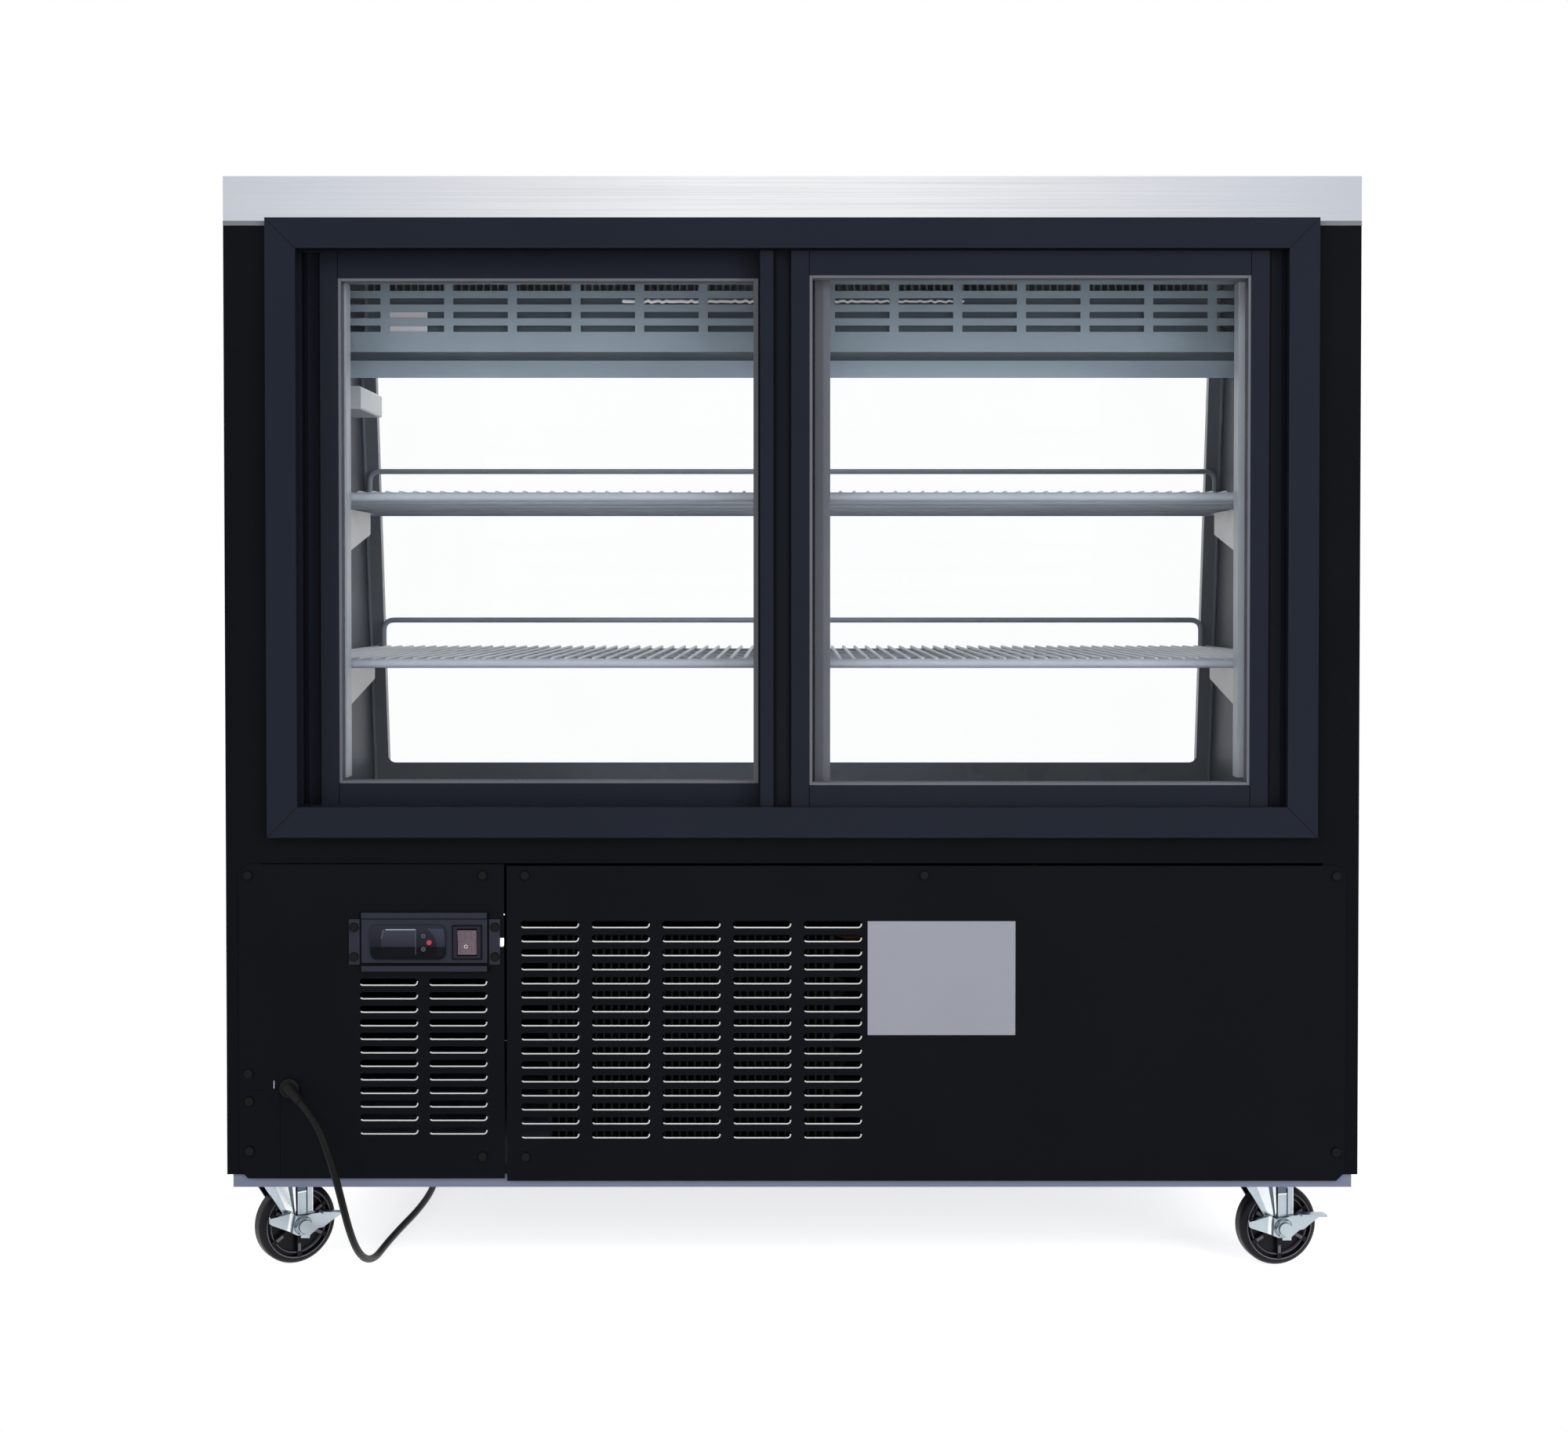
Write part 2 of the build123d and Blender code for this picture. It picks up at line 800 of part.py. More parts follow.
def fan_rotor(x, y, z, size):
    """A fan wheel: a hub with a bore and twisted blades, turning about Y."""
    hub_diameter = size * fan_hub_share
    wheel = Cylinder(hub_diameter / 2, fan_thickness)
    chord = size * fan_chord_share
    span = size / 2 - hub_diameter / 4
    rim = Cylinder(size / 2, fan_thickness)
    for index in range(fan_blades):
        blade = Rot(blade_tilt, 0, 0) * Box(span, chord, blade_sheet)
        blade = Rot(0, 0, 360 / fan_blades * index) * (Pos(hub_diameter / 4 + span / 2, 0, 0) * blade)
        wheel += blade & rim
    wheel -= Cylinder(fan_shaft / 2 + running_gap, fan_thickness)
    return Pos(x, y + fan_thickness / 2, z) * (Rot(90, 0, 0) * wheel)


# Light, driver box, shelves and what carries them

def lamp_strip():
    """The lamp under the ceiling, just inside the front glass."""
    y_end = front_y(ceiling_level) - glass_back - lamp_width
    z_low = ceiling_level - lamp_height
    half = x_liner - lamp_end_gap
    strip = block(-half, half, y_end - lamp_width, y_end, z_low, ceiling_level)
    return chamfer(strip.edges().filter_by(Axis.X).group_by(Axis.Z)[0], lamp_chamfer)


def driver_box():
    """The white box on the left wall that holds the lamp's driver."""
    z1 = ceiling_level - driver_drop
    y1 = front_y(z1) - glass_back - driver_glass_gap
    box = block(-x_liner, -x_liner + driver_width, y1 - driver_length, y1, z1 - driver_height, z1)
    return fillet(box.edges().filter_by(Axis.Y).group_by(Axis.X)[-1], driver_round)


def shelf_end(level, glass_gap):
    """Where a shelf ends before the slanted front glass."""
    return front_y(level) - glass_back - glass_gap


def shelf(level, glass_gap, guard_height, guard_inset):
    """A wire shelf: a frame of rods, close wires from back to front, and a guard rail."""
    y0 = y_rear + shelf_rear_setback
    y1 = shelf_end(level, glass_gap)
    half_rod = shelf_rod / 2
    half = x_liner - shelf_end_gap
    x_rod = half - shelf_rod
    z_rod = level - shelf_wire - shelf_rod
    z_wire = level - shelf_wire
    frame = block(-half, half, y0 - half_rod, y1 + half_rod, z_rod, z_wire)
    frame -= block(-x_rod, x_rod, y0 + half_rod, y1 - half_rod, z_rod, z_wire)
    for index in range(1, shelf_cross_rods + 1):
        y = y0 + (y1 - y0) * index / (shelf_cross_rods + 1)
        frame += block(-x_rod, x_rod, y - half_rod, y + half_rod, z_rod, z_wire)
    count = int((2 * half - shelf_wire) // shelf_pitch)
    wires = []
    for index in range(count + 1):
        x = (index - count / 2) * shelf_pitch
        wires.append(block(x - shelf_wire / 2, x + shelf_wire / 2, y0 - half_rod, y1 + half_rod,
                           z_wire, level))
    y_guard = y1 - guard_setback
    x_guard = half - guard_inset - guard_rod / 2
    rail_points = [
        (-x_guard, y_guard, z_rod),
        (-x_guard, y_guard, level + guard_height),
        (x_guard, y_guard, level + guard_height),
        (x_guard, y_guard, z_rod),
    ]
    path = FilletPolyline(*rail_points, radius=guard_bend)
    section = Plane(origin=rail_points[0], z_dir=(0, 0, 1)) * Circle(guard_rod / 2)
    guard = sweep(section, path=path)
    return frame + wires + guard


def shelf_posts():
    """The two grey uprights just behind the doors that carry the brackets."""
    posts = []
    for sign in (-1, 1):
        x0, x1 = sorted((sign * (x_liner - shelf_post_width), sign * x_liner))
        z0 = z_deck + shelf_post_foot
        z1 = z_roof - shelf_post_head
        y1 = y_chamber + shelf_post_depth
        post = block(x0, x1, y_chamber, y1, z0, z1)
        post -= block(x0 + post_sheet, x1 - post_sheet, y_chamber + post_sheet, y1 - post_sheet, z0, z1)
        posts.append(post)
    return posts


def shelf_bracket(sign, level, glass_gap):
    """One white sheet bracket, deep at its post and shallow at its tip, with a short slit."""
    y0 = y_chamber + shelf_post_depth
    y1 = shelf_end(level, glass_gap) - bracket_setback
    top = level - shelf_wire - shelf_rod
    outline = [
        (y0, top), (y1, top), (y1, top - bracket_tip_height), (y0, top - bracket_root_height),
    ]
    x = sign * (x_liner - bracket_inset)
    middle = bracket_sheet / 2
    plate = profile_x(outline, x - middle, x + middle)
    y_slit = y1 - bracket_slit_back
    plate -= block(
        x - middle, x + middle,
        y_slit, y_slit + bracket_slit_width,
        top - bracket_slit_height, top,
    )
    return plate


# The rear access panels

z_panel_low = z_body - left_panel_drop
z_left_top = z_beam - left_panel_top_gap
z_right_top = z_beam - right_panel_top_gap
z_right_low = z_body - right_panel_drop
z_notch = z_panel_low + cover_plate_height
x_panel_left = -x_side + left_panel_inset
x_panel_right = x_side - right_panel_inset
x_split_left = x_panel_left + left_panel_width
x_split_right = x_split_left + panel_split_gap
x_notch = x_panel_left + cover_plate_width
y_panel = y_rear - panel_sheet
panel_edges = {
    "left": x_panel_left, "split_left": x_split_left, "split_right": x_split_right, "right": x_panel_right,
}
panel_levels = {
    "left_top": z_left_top, "notch": z_notch, "left_low": z_panel_low,
    "right_top": z_right_top, "right_low": z_right_low,
}
panel_screw_places = [
    (panel_edges[edge] + x, panel_levels[level] + z) for edge, x, level, z in panel_screw_offsets
]
x_control = x_panel_left + control_in
z_control = z_left_top - control_down
x_controller = x_control + controller_shift
x_switch = x_control + switch_shift
x_gland = x_panel_left + gland_in
z_gland = z_notch + gland_rise


def rear_plate(outline, y0, thickness):
    """A flat plate from an outline of (x, z) points, with its outer face at y0."""
    face = make_face(Polyline([(x, y0, z) for x, z in outline], close=True))
    return extrude(face, amount=thickness, dir=(0, 1, 0))


def screw_holes(plate, places, y0, y1, diameter):
    """Drill a plate for screws at (x, z) places."""
    for x, z in places:
        plate -= rod((x, y0, z), (x, y1, z), diameter)
    return plate


def louvre_centres(x_first, pitch, columns, z_first, step, rows):
    """The middles of a block of louvres, from its top left one."""
    return [(x_first + c * pitch, z_first - r * step) for c in range(columns) for r in range(rows)]


def rear_panel_left():
    """The left access panel: louvres, the hole for the controls, and the corner for the cord."""
    outline = [
        (x_notch, z_panel_low),
        (x_split_left, z_panel_low),
        (x_split_left, z_left_top),
        (x_panel_left + panel_chamfer, z_left_top),
        (x_panel_left, z_left_top - panel_chamfer),
        (x_panel_left, z_notch + face_gap),
        (x_notch, z_notch + face_gap),
    ]
    panel = rear_plate(outline, y_panel, panel_sheet)
    centres = louvre_centres(
        x_panel_left + left_louvre_in, left_louvre_pitch, left_louvre_columns,
        z_left_top - left_louvre_down, left_louvre_step, left_louvre_rows,
    )
    panel -= panel_cuts(centres, louvre_width, louvre_height, y_panel, y_rear, True)
    for x, width, height in control_holes():
        panel -= block(x - width / 2, x + width / 2, y_panel, y_rear,
                       z_control - height / 2, z_control + height / 2)
    places = panel_screw_places + control_screw_places()
    panel = screw_holes(panel, places, y_panel, y_rear, panel_screw_shank)
    return screw_holes(panel, [(x_gland, z_gland)], y_panel, y_rear, gland_hole)


def rear_panel_right():
    """The right access panel with its big field of louvres."""
    outline = [
        (x_split_right, z_right_low),
        (x_panel_right - panel_chamfer, z_right_low),
        (x_panel_right, z_right_low + panel_chamfer),
        (x_panel_right, z_right_top - panel_chamfer),
        (x_panel_right - panel_chamfer, z_right_top),
        (x_split_right, z_right_top),
    ]
    panel = rear_plate(outline, y_panel, panel_sheet)
    centres = louvre_centres(
        x_split_right + right_louvre_in, right_louvre_pitch, right_louvre_columns,
        z_right_top - right_louvre_down, right_louvre_step, right_louvre_rows,
    )
    panel -= panel_cuts(centres, louvre_width, louvre_height, y_panel, y_rear, True)
    return screw_holes(panel, panel_screw_places, y_panel, y_rear, panel_screw_shank)


def cord_cover_plate():
    """The small plate in the lower left corner, below the cord's outlet."""
    x1 = x_notch - face_gap
    outline = [
        (x_panel_left + panel_chamfer, z_panel_low), (x1, z_panel_low), (x1, z_notch),
        (x_panel_left, z_notch), (x_panel_left, z_panel_low + panel_chamfer),
    ]
    plate = rear_plate(outline, y_panel, panel_sheet)
    return screw_holes(plate, panel_screw_places, y_panel, y_rear, panel_screw_shank)


def pan_screw(x, y, z, length):
    """A pan-head screw with its head outside the plane y."""
    head = rod((x, y - panel_screw_height, z), (x, y, z), panel_screw_head)
    edge = head.edges().group_by(Axis.Y)[0]
    head = fillet(edge, panel_screw_round)
    return head + rod((x, y, z), (x, y + length, z), panel_screw_shank)


def panel_screws():
    """The screws of the access panels and of the control plate."""
    screws = [pan_screw(x, y_panel, z, panel_screw_length) for x, z in panel_screw_places]
    y_plate = y_panel - control_sheet
    screws += [pan_screw(x, y_plate, z, panel_screw_length) for x, z in control_screw_places()]
    return screws


# The controls

y_bezel = y_panel - control_sheet - bezel_proud
y_controller = y_bezel - controller_proud
y_switch = y_bezel - switch_proud


def control_screw_places():
    """The middles of the control plate's four screws."""
    x_screw = control_width / 2 - tab_screw_inset
    z_screw = tab_screw_spacing / 2
    return [(x_control + i * x_screw, z_control + j * z_screw) for i in (-1, 1) for j in (-1, 1)]


def control_holes():
    """Middle, width and height of the holes for the controller and the switch."""
    switch_body_width = switch_width - 2 * switch_wall
    switch_body_height = switch_height - 2 * switch_wall
    return [
        (x_controller, controller_body_width, controller_body_height),
        (x_switch, switch_body_width, switch_body_height),
    ]


def control_plate():
    """The plate that frames the controls: screw tabs, a raised bezel and a lip above and below."""
    y0 = y_panel - control_sheet
    x0 = x_control - control_width / 2
    x1 = x_control + control_width / 2
    plate = block(x0, x1, y0, y_panel, z_control - tab_height / 2, z_control + tab_height / 2)
    b0 = x_control - bezel_width / 2
    b1 = x_control + bezel_width / 2
    z0 = z_control - control_height / 2
    z1 = z_control + control_height / 2
    plate += block(b0, b1, y0, y_panel, z0, z1)
    half = bezel_height / 2 - face_gap
    plate += block(b0, b1, y_bezel, y0, z_control - half, z_control + half)
    plate += block(b0, b1, y0 - lip_proud, y0, z1 - lip_height, z1)
    plate += block(b0, b1, y0 - lip_proud, y0, z0, z0 + lip_height)
    for x, width, height in control_holes():
        plate -= block(x - width / 2, x + width / 2, y_bezel, y_panel,
                       z_control - height / 2, z_control + height / 2)
    return screw_holes(plate, control_screw_places(), y0, y_panel, panel_screw_shank)


def controller():
    """The temperature controller: a rounded face over the bezel and a body through the panel."""
    half_width = controller_width / 2
    half_height = controller_height / 2
    face = block(
        x_controller - half_width, x_controller + half_width, y_controller, y_bezel,
        z_control - half_height, z_control + half_height,
    )
    face = fillet(face.edges().filter_by(Axis.Y), controller_round)
    half_width = controller_body_width / 2
    half_height = controller_body_height / 2
    face += block(
        x_controller - half_width, x_controller + half_width,
        y_bezel, y_bezel + controller_body_depth,
        z_control - half_height, z_control + half_height,
    )
    depth = button_depth - button_proud + button_travel + face_gap
    for x, z in button_places.values():
        start = (x_controller + x, y_controller, z_control + z)
        end = (x_controller + x, y_controller + depth, z_control + z)
        face -= rod(start, end, button_diameter + 2 * face_gap)
    return face


def button(place):
    """One round push button of the controller."""
    x = x_controller + place[0]
    z = z_control + place[1]
    y0 = y_controller - button_proud
    cap = rod((x, y0, z), (x, y0 + button_depth, z), button_diameter)
    return fillet(cap.edges().group_by(Axis.Y)[0], button_proud / 2)


def switch_frame():
    """The rocker switch's frame and body, with the pin that the rocker turns on."""
    half_width = switch_width / 2
    half_height = switch_height / 2
    frame = block(x_switch - half_width, x_switch + half_width, y_switch, y_bezel,
                  z_control - half_height, z_control + half_height)
    half_width -= switch_wall
    half_height -= switch_wall
    frame += block(x_switch - half_width, x_switch + half_width, y_bezel, y_bezel + switch_body_depth,
                   z_control - half_height, z_control + half_height)
    cavity_width = rocker_width / 2 + 2 * face_gap
    cavity_height = rocker_radius + 2 * face_gap
    frame -= block(x_switch - cavity_width, x_switch + cavity_width,
                   y_switch, y_bezel + switch_body_depth - switch_wall,
                   z_control - cavity_height, z_control + cavity_height)
    y_pin = y_bezel + rocker_pivot_depth
    frame += rod((x_switch - cavity_width, y_pin, z_control),
                 (x_switch + cavity_width, y_pin, z_control), rocker_pin)
    return frame


def switch_rocker():
    """The translucent rocker, with its lower half pressed for off, and a bore for its pin."""
    end_depth = math.sqrt(rocker_radius ** 2 - (rocker_height / 2 - face_gap) ** 2)
    end = rocker_height / 2 - face_gap
    front = -rocker_pivot_depth - end_depth + rocker_dip
    outline = [
        (-rocker_pivot_depth, -end), (front, -end), (front + rocker_dip, 0), (front, end),
        (-rocker_pivot_depth, end), (rocker_back, end / 2), (rocker_back, -end / 2),
    ]
    half = rocker_width / 2
    rocker = profile_x(outline, -half, half)
    rocker &= Rot(0, 90, 0) * Cylinder(rocker_radius, rocker_width)
    rocker -= Rot(0, 90, 0) * Cylinder(rocker_pin / 2 + running_gap, rocker_width)
    y_pin = y_bezel + rocker_pivot_depth
    return Pos(x_switch, y_pin, z_control) * (Rot(rocker_throw / 2, 0, 0) * rocker)


# The cord, from its gland to its plug

heading = Vector(*relief_heading).normalized()
gland_point = Vector(x_gland, y_panel - gland_flange, z_gland)
cord_exit = gland_point + heading * relief_length


def cord_gland():
    """The round gland in the rear panel, its neck and its tapered strain relief."""
    centre = (x_gland, y_panel, z_gland)
    flange = rod((x_gland, y_panel - gland_flange, z_gland), centre, gland_diameter)
    flange = fillet(flange.edges().group_by(Axis.Y)[0], gland_flange / 3)
    neck = rod(centre, (x_gland, y_rear + gland_flange, z_gland), gland_hole)
    root = gland_point - heading * (gland_flange / 3)
    relief = cone_between(tuple(root), tuple(cord_exit), relief_root, relief_tip)
    return flange + neck + relief

cord_radius = cord_diameter / 2
cord_pitch = cord_diameter + coil_air
floor_level = cord_radius + floor_air
coil_angle = 2 * math.pi * coil_turns
coil_outer_radius = coil_middle_radius + coil_turns / 4 * cord_pitch
coil_start = Vector(coil_place[0] - coil_outer_radius, coil_place[1], floor_level)
coil_end = Vector(coil_place[0] + coil_outer_radius, coil_place[1], floor_level + cord_pitch)
coil_entry = coil_start - Vector(0, cord_diameter, 0)
coil_exit = coil_end - Vector(0, coil_lead_out, 0)

# The cord's route where it isn't coiled: out of the strain relief, down to the floor,
# and back under the case. The first and last points are worked out from what they meet.
cord_route = [
    cord_exit,
    cord_exit + heading * relief_run,
    Vector(-482.0, -377.5, 154.0),
    Vector(-474.5, -376.0, 127.0),
    Vector(-469.0, -369.0, 97.0),
    Vector(-465.5, -354.0, 66.0),
    Vector(-463.0, -328.0, 37.0),
    Vector(-461.0, -292.0, 15.5),
    Vector(-459.0, -250.0, floor_level),
    Vector(-457.0, -205.0, floor_level),
    Vector(-452.0, -145.0, floor_level),
    Vector(-444.0, -75.0, floor_level),
    Vector(-441.0, 0.0, floor_level),
    Vector(-446.0, 66.0, floor_level),
    coil_entry - Vector(0, coil_lead_in, 0),
    coil_entry,
]


def route_radii(points):
    """The largest bend at each corner that its two runs leave room for."""
    radii = []
    for before, corner, after in zip(points, points[1:], points[2:]):
        arriving = corner - before
        leaving = after - corner
        turn = math.radians(arriving.get_angle(leaving))
        radii.append(bend_share * min(arriving.length, leaving.length) / math.tan(turn / 2))
    return radii


def tube(path, start, direction):
    """A round cord along a path, with a print of its volume against section times length."""
    section = Plane(origin=start, z_dir=direction) * Circle(cord_radius)
    solid = sweep(section, path=path)
    expected = math.pi * cord_radius ** 2 * path.length
    print(f"cord length {path.length:.1f}, volume over section times length {solid.volume / expected:.5f}")
    return solid


def supply_cord():
    """The free stretch of the cord."""
    radii = route_radii(cord_route)
    print("cord radii", [round(radius, 1) for radius in radii])
    path = FilletPolyline(*cord_route, radius=radii)
    return tube(path, cord_route[0], heading)


def coil_point(angle):
    """The coil's centre line and its direction: in one layer, up, and out again in the next."""
    middle = coil_angle / 2
    inwards = min(angle, coil_angle - angle)
    radius = coil_outer_radius - cord_pitch * inwards / (2 * math.pi)
    share = min(max((angle - middle) / math.pi + 0.5, 0.0), 1.0)
    height = floor_level + cord_pitch * share * share * (3 - 2 * share)
    x = coil_place[0] - radius * math.cos(angle)
    y = coil_place[1] + radius * math.sin(angle)
    return Vector(x, y, height)


def coil_direction(angle):
    """The direction of the coil's centre line, square to the radius at its ends and middle."""
    step = 0.01
    slope = (coil_point(angle + step) - coil_point(angle - step)) * (1 / (2 * step))
    if angle in (0.0, coil_angle):
        return Vector(math.sin(angle), math.cos(angle), 0)
    return slope.normalized()


def biarc(start, start_direction, end, end_direction):
    """Two tangent arcs that join two points with the given directions."""
    chord = end - start
    total = start_direction + end_direction
    a = 2 * (1 - start_direction.dot(end_direction))
    b = chord.dot(total)
    reach = (math.sqrt(b * b + a * chord.dot(chord)) - b) / a
    near = start + start_direction * reach
    far = end - end_direction * reach
    joint = (near + far) * 0.5
    first = TangentArc(start, joint, tangent=start_direction)
    second = TangentArc(joint, end, tangent=(far - near).normalized())
    return [first.edge(), second.edge()]


def cord_coil():
    """The put-away length of the cord: one unbroken tube wound in two layers."""
    steps = round(coil_turns * 4)
    angles = [coil_angle * index / steps for index in range(steps + 1)]
    edges = [Edge.make_line(coil_entry, coil_start)]
    for before, after in zip(angles, angles[1:]):
        edges += biarc(coil_point(before), coil_direction(before), coil_point(after), coil_direction(after))
    edges.append(Edge.make_line(coil_end, coil_exit))
    path = Wire(edges)
    samples = [coil_point(coil_angle * index / coil_samples) for index in range(coil_samples + 1)]
    apart = round(coil_samples / 2 / coil_turns)
    least = min(
        (first - second).length
        for index, first in enumerate(samples)
        for second in samples[index + apart:]
    )
    print(f"coil least gap {least - cord_diameter:.2f}")
    return tube(path, coil_entry, Vector(0, 1, 0))


def plug():
    """The mains plug on the cord's end: boot, body and three pins, lying on the floor."""
    x, y, z = tuple(coil_exit)
    y_body = y - plug_boot
    boot = cone_between((x, y, z), (x, y_body, z), boot_start, boot_end)
    height = 2 * (z - floor_air)
    body = block(x - plug_width / 2, x + plug_width / 2, y_body - plug_length, y_body,
                 z - height / 2, z + height / 2)
    body = fillet(body.edges().filter_by(Axis.Y), plug_round)
    y_face = y_body - plug_length
    pins = []
    for offset in (-pin_spacing / 2, pin_spacing / 2):
        pins.append(block(x + offset - pin_sheet / 2, x + offset + pin_sheet / 2,
                          y_face - plug_pin_length, y_face, z - pin_width / 2, z + pin_width / 2))
    level = z + earth_pin_rise
    pins.append(rod((x, y_face - plug_pin_length, level), (x, y_face, level), earth_pin))
    return boot + body + pins


# The castors, each built about its own swivel axis with the wheel trailing along its X

wheel_radius = wheel_diameter / 2
leg_outside = fork_inside / 2 + fork_sheet
pedal_near = -leg_outside - pedal_standoff - pedal_sheet
z_crown = wheel_diameter + fork_crown_gap
z_crown_top = z_crown + fork_sheet


def castor_location(name):
    """Where a castor stands and which way it is turned."""
    x, y, turn = castor_places[name]
    return Pos(x, y, 0) * Rot(0, 0, turn)


def castor_plate():
    """A castor's top plate with the king pin that its fork hangs on."""
    half = plate_size / 2
    plate = block(-half, half, -half, half, z_base - plate_sheet, z_base)
    pin = rod((0, 0, z_crown - king_head_height), (0, 0, z_base), king_pin)
    z_head = z_crown - face_gap
    head = rod((0, 0, z_head - king_head_height), (0, 0, z_head), king_head)
    return plate + pin + head


def castor_fork():
    """A castor's fork: crown, race, two tapering legs and the axle bolt."""
    x0 = -fork_crown_back
    x1 = fork_crown_front
    crown = block(x0, x1, -leg_outside, leg_outside, z_crown, z_crown_top)
    crown += rod((0, 0, z_crown_top), (0, 0, z_base - plate_sheet - face_gap), swivel_race)
    z_axle = wheel_radius
    boss = fork_boss
    outline = [
        (x0, z_crown_top), (x1, z_crown_top), (x1, z_axle + boss),
        (wheel_trail + boss / 2, z_axle - boss), (wheel_trail - boss / 2, z_axle - boss),
        (-fork_leg_back, z_axle + boss),
    ]
    fork = crown
    for y0 in (-leg_outside, leg_outside - fork_sheet):
        fork += rear_plate(outline, y0, fork_sheet)
    bore = king_pin / 2 + running_gap
    fork -= Pos(0, 0, z_base) * Cylinder(bore, 2 * castor_height)
    y_head = pedal_near - face_gap
    fork += rod((wheel_trail, y_head, z_axle), (wheel_trail, leg_outside, z_axle), axle_diameter)
    y_spacer = pedal_near + pedal_sheet + face_gap
    fork += rod((wheel_trail, y_spacer, z_axle), (wheel_trail, -leg_outside, z_axle), axle_head)
    hexagon = RegularPolygon(axle_head / 2, 6)
    for y0 in (y_head - axle_head_height, leg_outside):
        plane = Plane(origin=(wheel_trail, y0, z_axle), z_dir=(0, 1, 0), x_dir=(1, 0, 0))
        fork += extrude(plane * hexagon, amount=axle_head_height)
    y_cap = y_head - axle_head_height - axle_cap_height
    fork += rod((wheel_trail, y_cap, z_axle), (wheel_trail, y_head, z_axle), axle_cap)
    return fork


def castor_wheel():
    """A castor's wheel: a rounded tread, dished sides, spokes and a hub with a bore."""
    half = wheel_width / 2
    wheel = Cylinder(wheel_radius, wheel_width)
    wheel = fillet(wheel.edges(), wheel_round)
    ring_out = wheel_radius - wheel_rim
    for sign in (-1, 1):
        z = sign * (half - wheel_dish / 2)
        ring = Pos(0, 0, z) * (Cylinder(ring_out, wheel_dish) - Cylinder(wheel_hub / 2, wheel_dish))
        for index in range(wheel_spokes):
            length = ring_out
            spoke = Pos(length / 2, 0, z) * Box(length, spoke_width, wheel_dish)
            ring -= Rot(0, 0, spoke_turn + 360 / wheel_spokes * index) * spoke
        wheel -= ring
    hub_width = fork_inside - 2 * face_gap
    wheel += Cylinder(wheel_hub / 2, hub_width)
    wheel -= Cylinder(axle_diameter / 2 + running_gap, hub_width)
    return Pos(wheel_trail, 0, wheel_radius) * (Rot(90, 0, 0) * wheel)


def castor_pedal(lean):
    """The rocking brake pedal on a castor's axle, a tread on its right and a tail on its left, as it leans at rest."""
    places = [(wheel_trail + x, wheel_radius + z) for x, z in pedal_outline]
    pedal = rear_plate(places, pedal_near, pedal_sheet)
    z_tread = wheel_radius + pedal_tread_level
    tread_start = wheel_trail + pedal_tread_start
    tread_end = wheel_trail + pedal_tread_end
    pedal += block(tread_start, tread_end, pedal_near - pedal_tread_width,
                   pedal_near + pedal_sheet, z_tread - pedal_sheet, z_tread)
    bore = axle_diameter + 2 * running_gap
    start = (wheel_trail, pedal_near, wheel_radius)
    pedal -= rod(start, (wheel_trail, pedal_near + pedal_sheet, wheel_radius), bore)
    axle = Pos(wheel_trail, 0, wheel_radius)
    return axle * Rot(0, lean, 0) * axle.inverse() * pedal


# The cooling machine under the deck

x_compressor = x_side - compressor_in
x_condenser = x_split_right + condenser_in
y_condenser = y_rear + condenser_setback
y_shroud = y_condenser + condenser_depth
z_condenser = z_body + machine_foot
z_condenser_top = z_condenser + condenser_height
y_condenser_fan = y_shroud + shroud_sheet + face_gap
z_condenser_fan = (z_condenser + z_condenser_top) / 2


def compressor():
    """The compressor: feet, base plate, domed can and terminal box."""
    x, y = x_compressor, compressor_y
    z0 = z_body + machine_foot
    half = compressor_diameter / 2
    reach = half - compressor_foot_inset
    plate = block(x - half, x + half, y - half, y + half, z0, z0 + compressor_sheet)
    for i in (-1, 1):
        for j in (-1, 1):
            place = (x + i * reach, y + j * reach)
            plate += rod((*place, z_body), (*place, z0), compressor_foot)
    can = rod((x, y, z0 + compressor_sheet), (x, y, z0 + compressor_height), compressor_can)
    can = fillet(can.edges().group_by(Axis.Z)[-1], compressor_dome)
    box = block(x - half, x - half + terminal_box_depth, y - half / 2, y + half / 2,
                z0 + compressor_height / 3, z0 + compressor_height / 2)
    return plate + can + box


def condenser_coil():
    """The finned condenser behind the right louvres, with its end plates and return bends."""
    x0 = x_condenser - condenser_width / 2
    x1 = x_condenser + condenser_width / 2
    fins = comb(x0, x1, y_condenser, y_shroud, z_condenser, z_condenser_top)
    left = block(x0 - fin_sheet, x0, y_condenser, y_shroud, z_body, z_condenser_top)
    right = block(x1, x1 + fin_sheet, y_condenser, y_shroud, z_body, z_condenser_top)
    y_middle = (y_condenser + y_shroud) / 2
    bends = return_bends(x1 + fin_sheet, y_middle, z_condenser, condenser_height, condenser_bends)
    return fins, left, right, *bends


def condenser_shroud():
    """The plate that holds the fan opening behind the condenser, and the fan's motor."""
    x0 = x_condenser - condenser_width / 2
    x1 = x_condenser + condenser_width / 2
    plate = block(x0, x1, y_shroud, y_shroud + shroud_sheet, z_body, z_condenser_top)
    centre = (x_condenser, y_shroud, z_condenser_fan)
    far = (x_condenser, y_shroud + shroud_sheet, z_condenser_fan)
    plate -= rod(centre, far, condenser_fan_size + 4 * slide_gap)
    motor = fan_motor(x_condenser, y_condenser_fan, z_condenser_fan, z_body, condenser_fan_size)
    return plate, motor


def pipe_run(points):
    """A refrigerant pipe bent through a few points."""
    path = FilletPolyline(*points, radius=pipe_bend)
    direction = Vector(*points[1]) - Vector(*points[0])
    section = Plane(origin=points[0], z_dir=direction) * Circle(pipe_diameter / 2)
    return sweep(section, path=path)


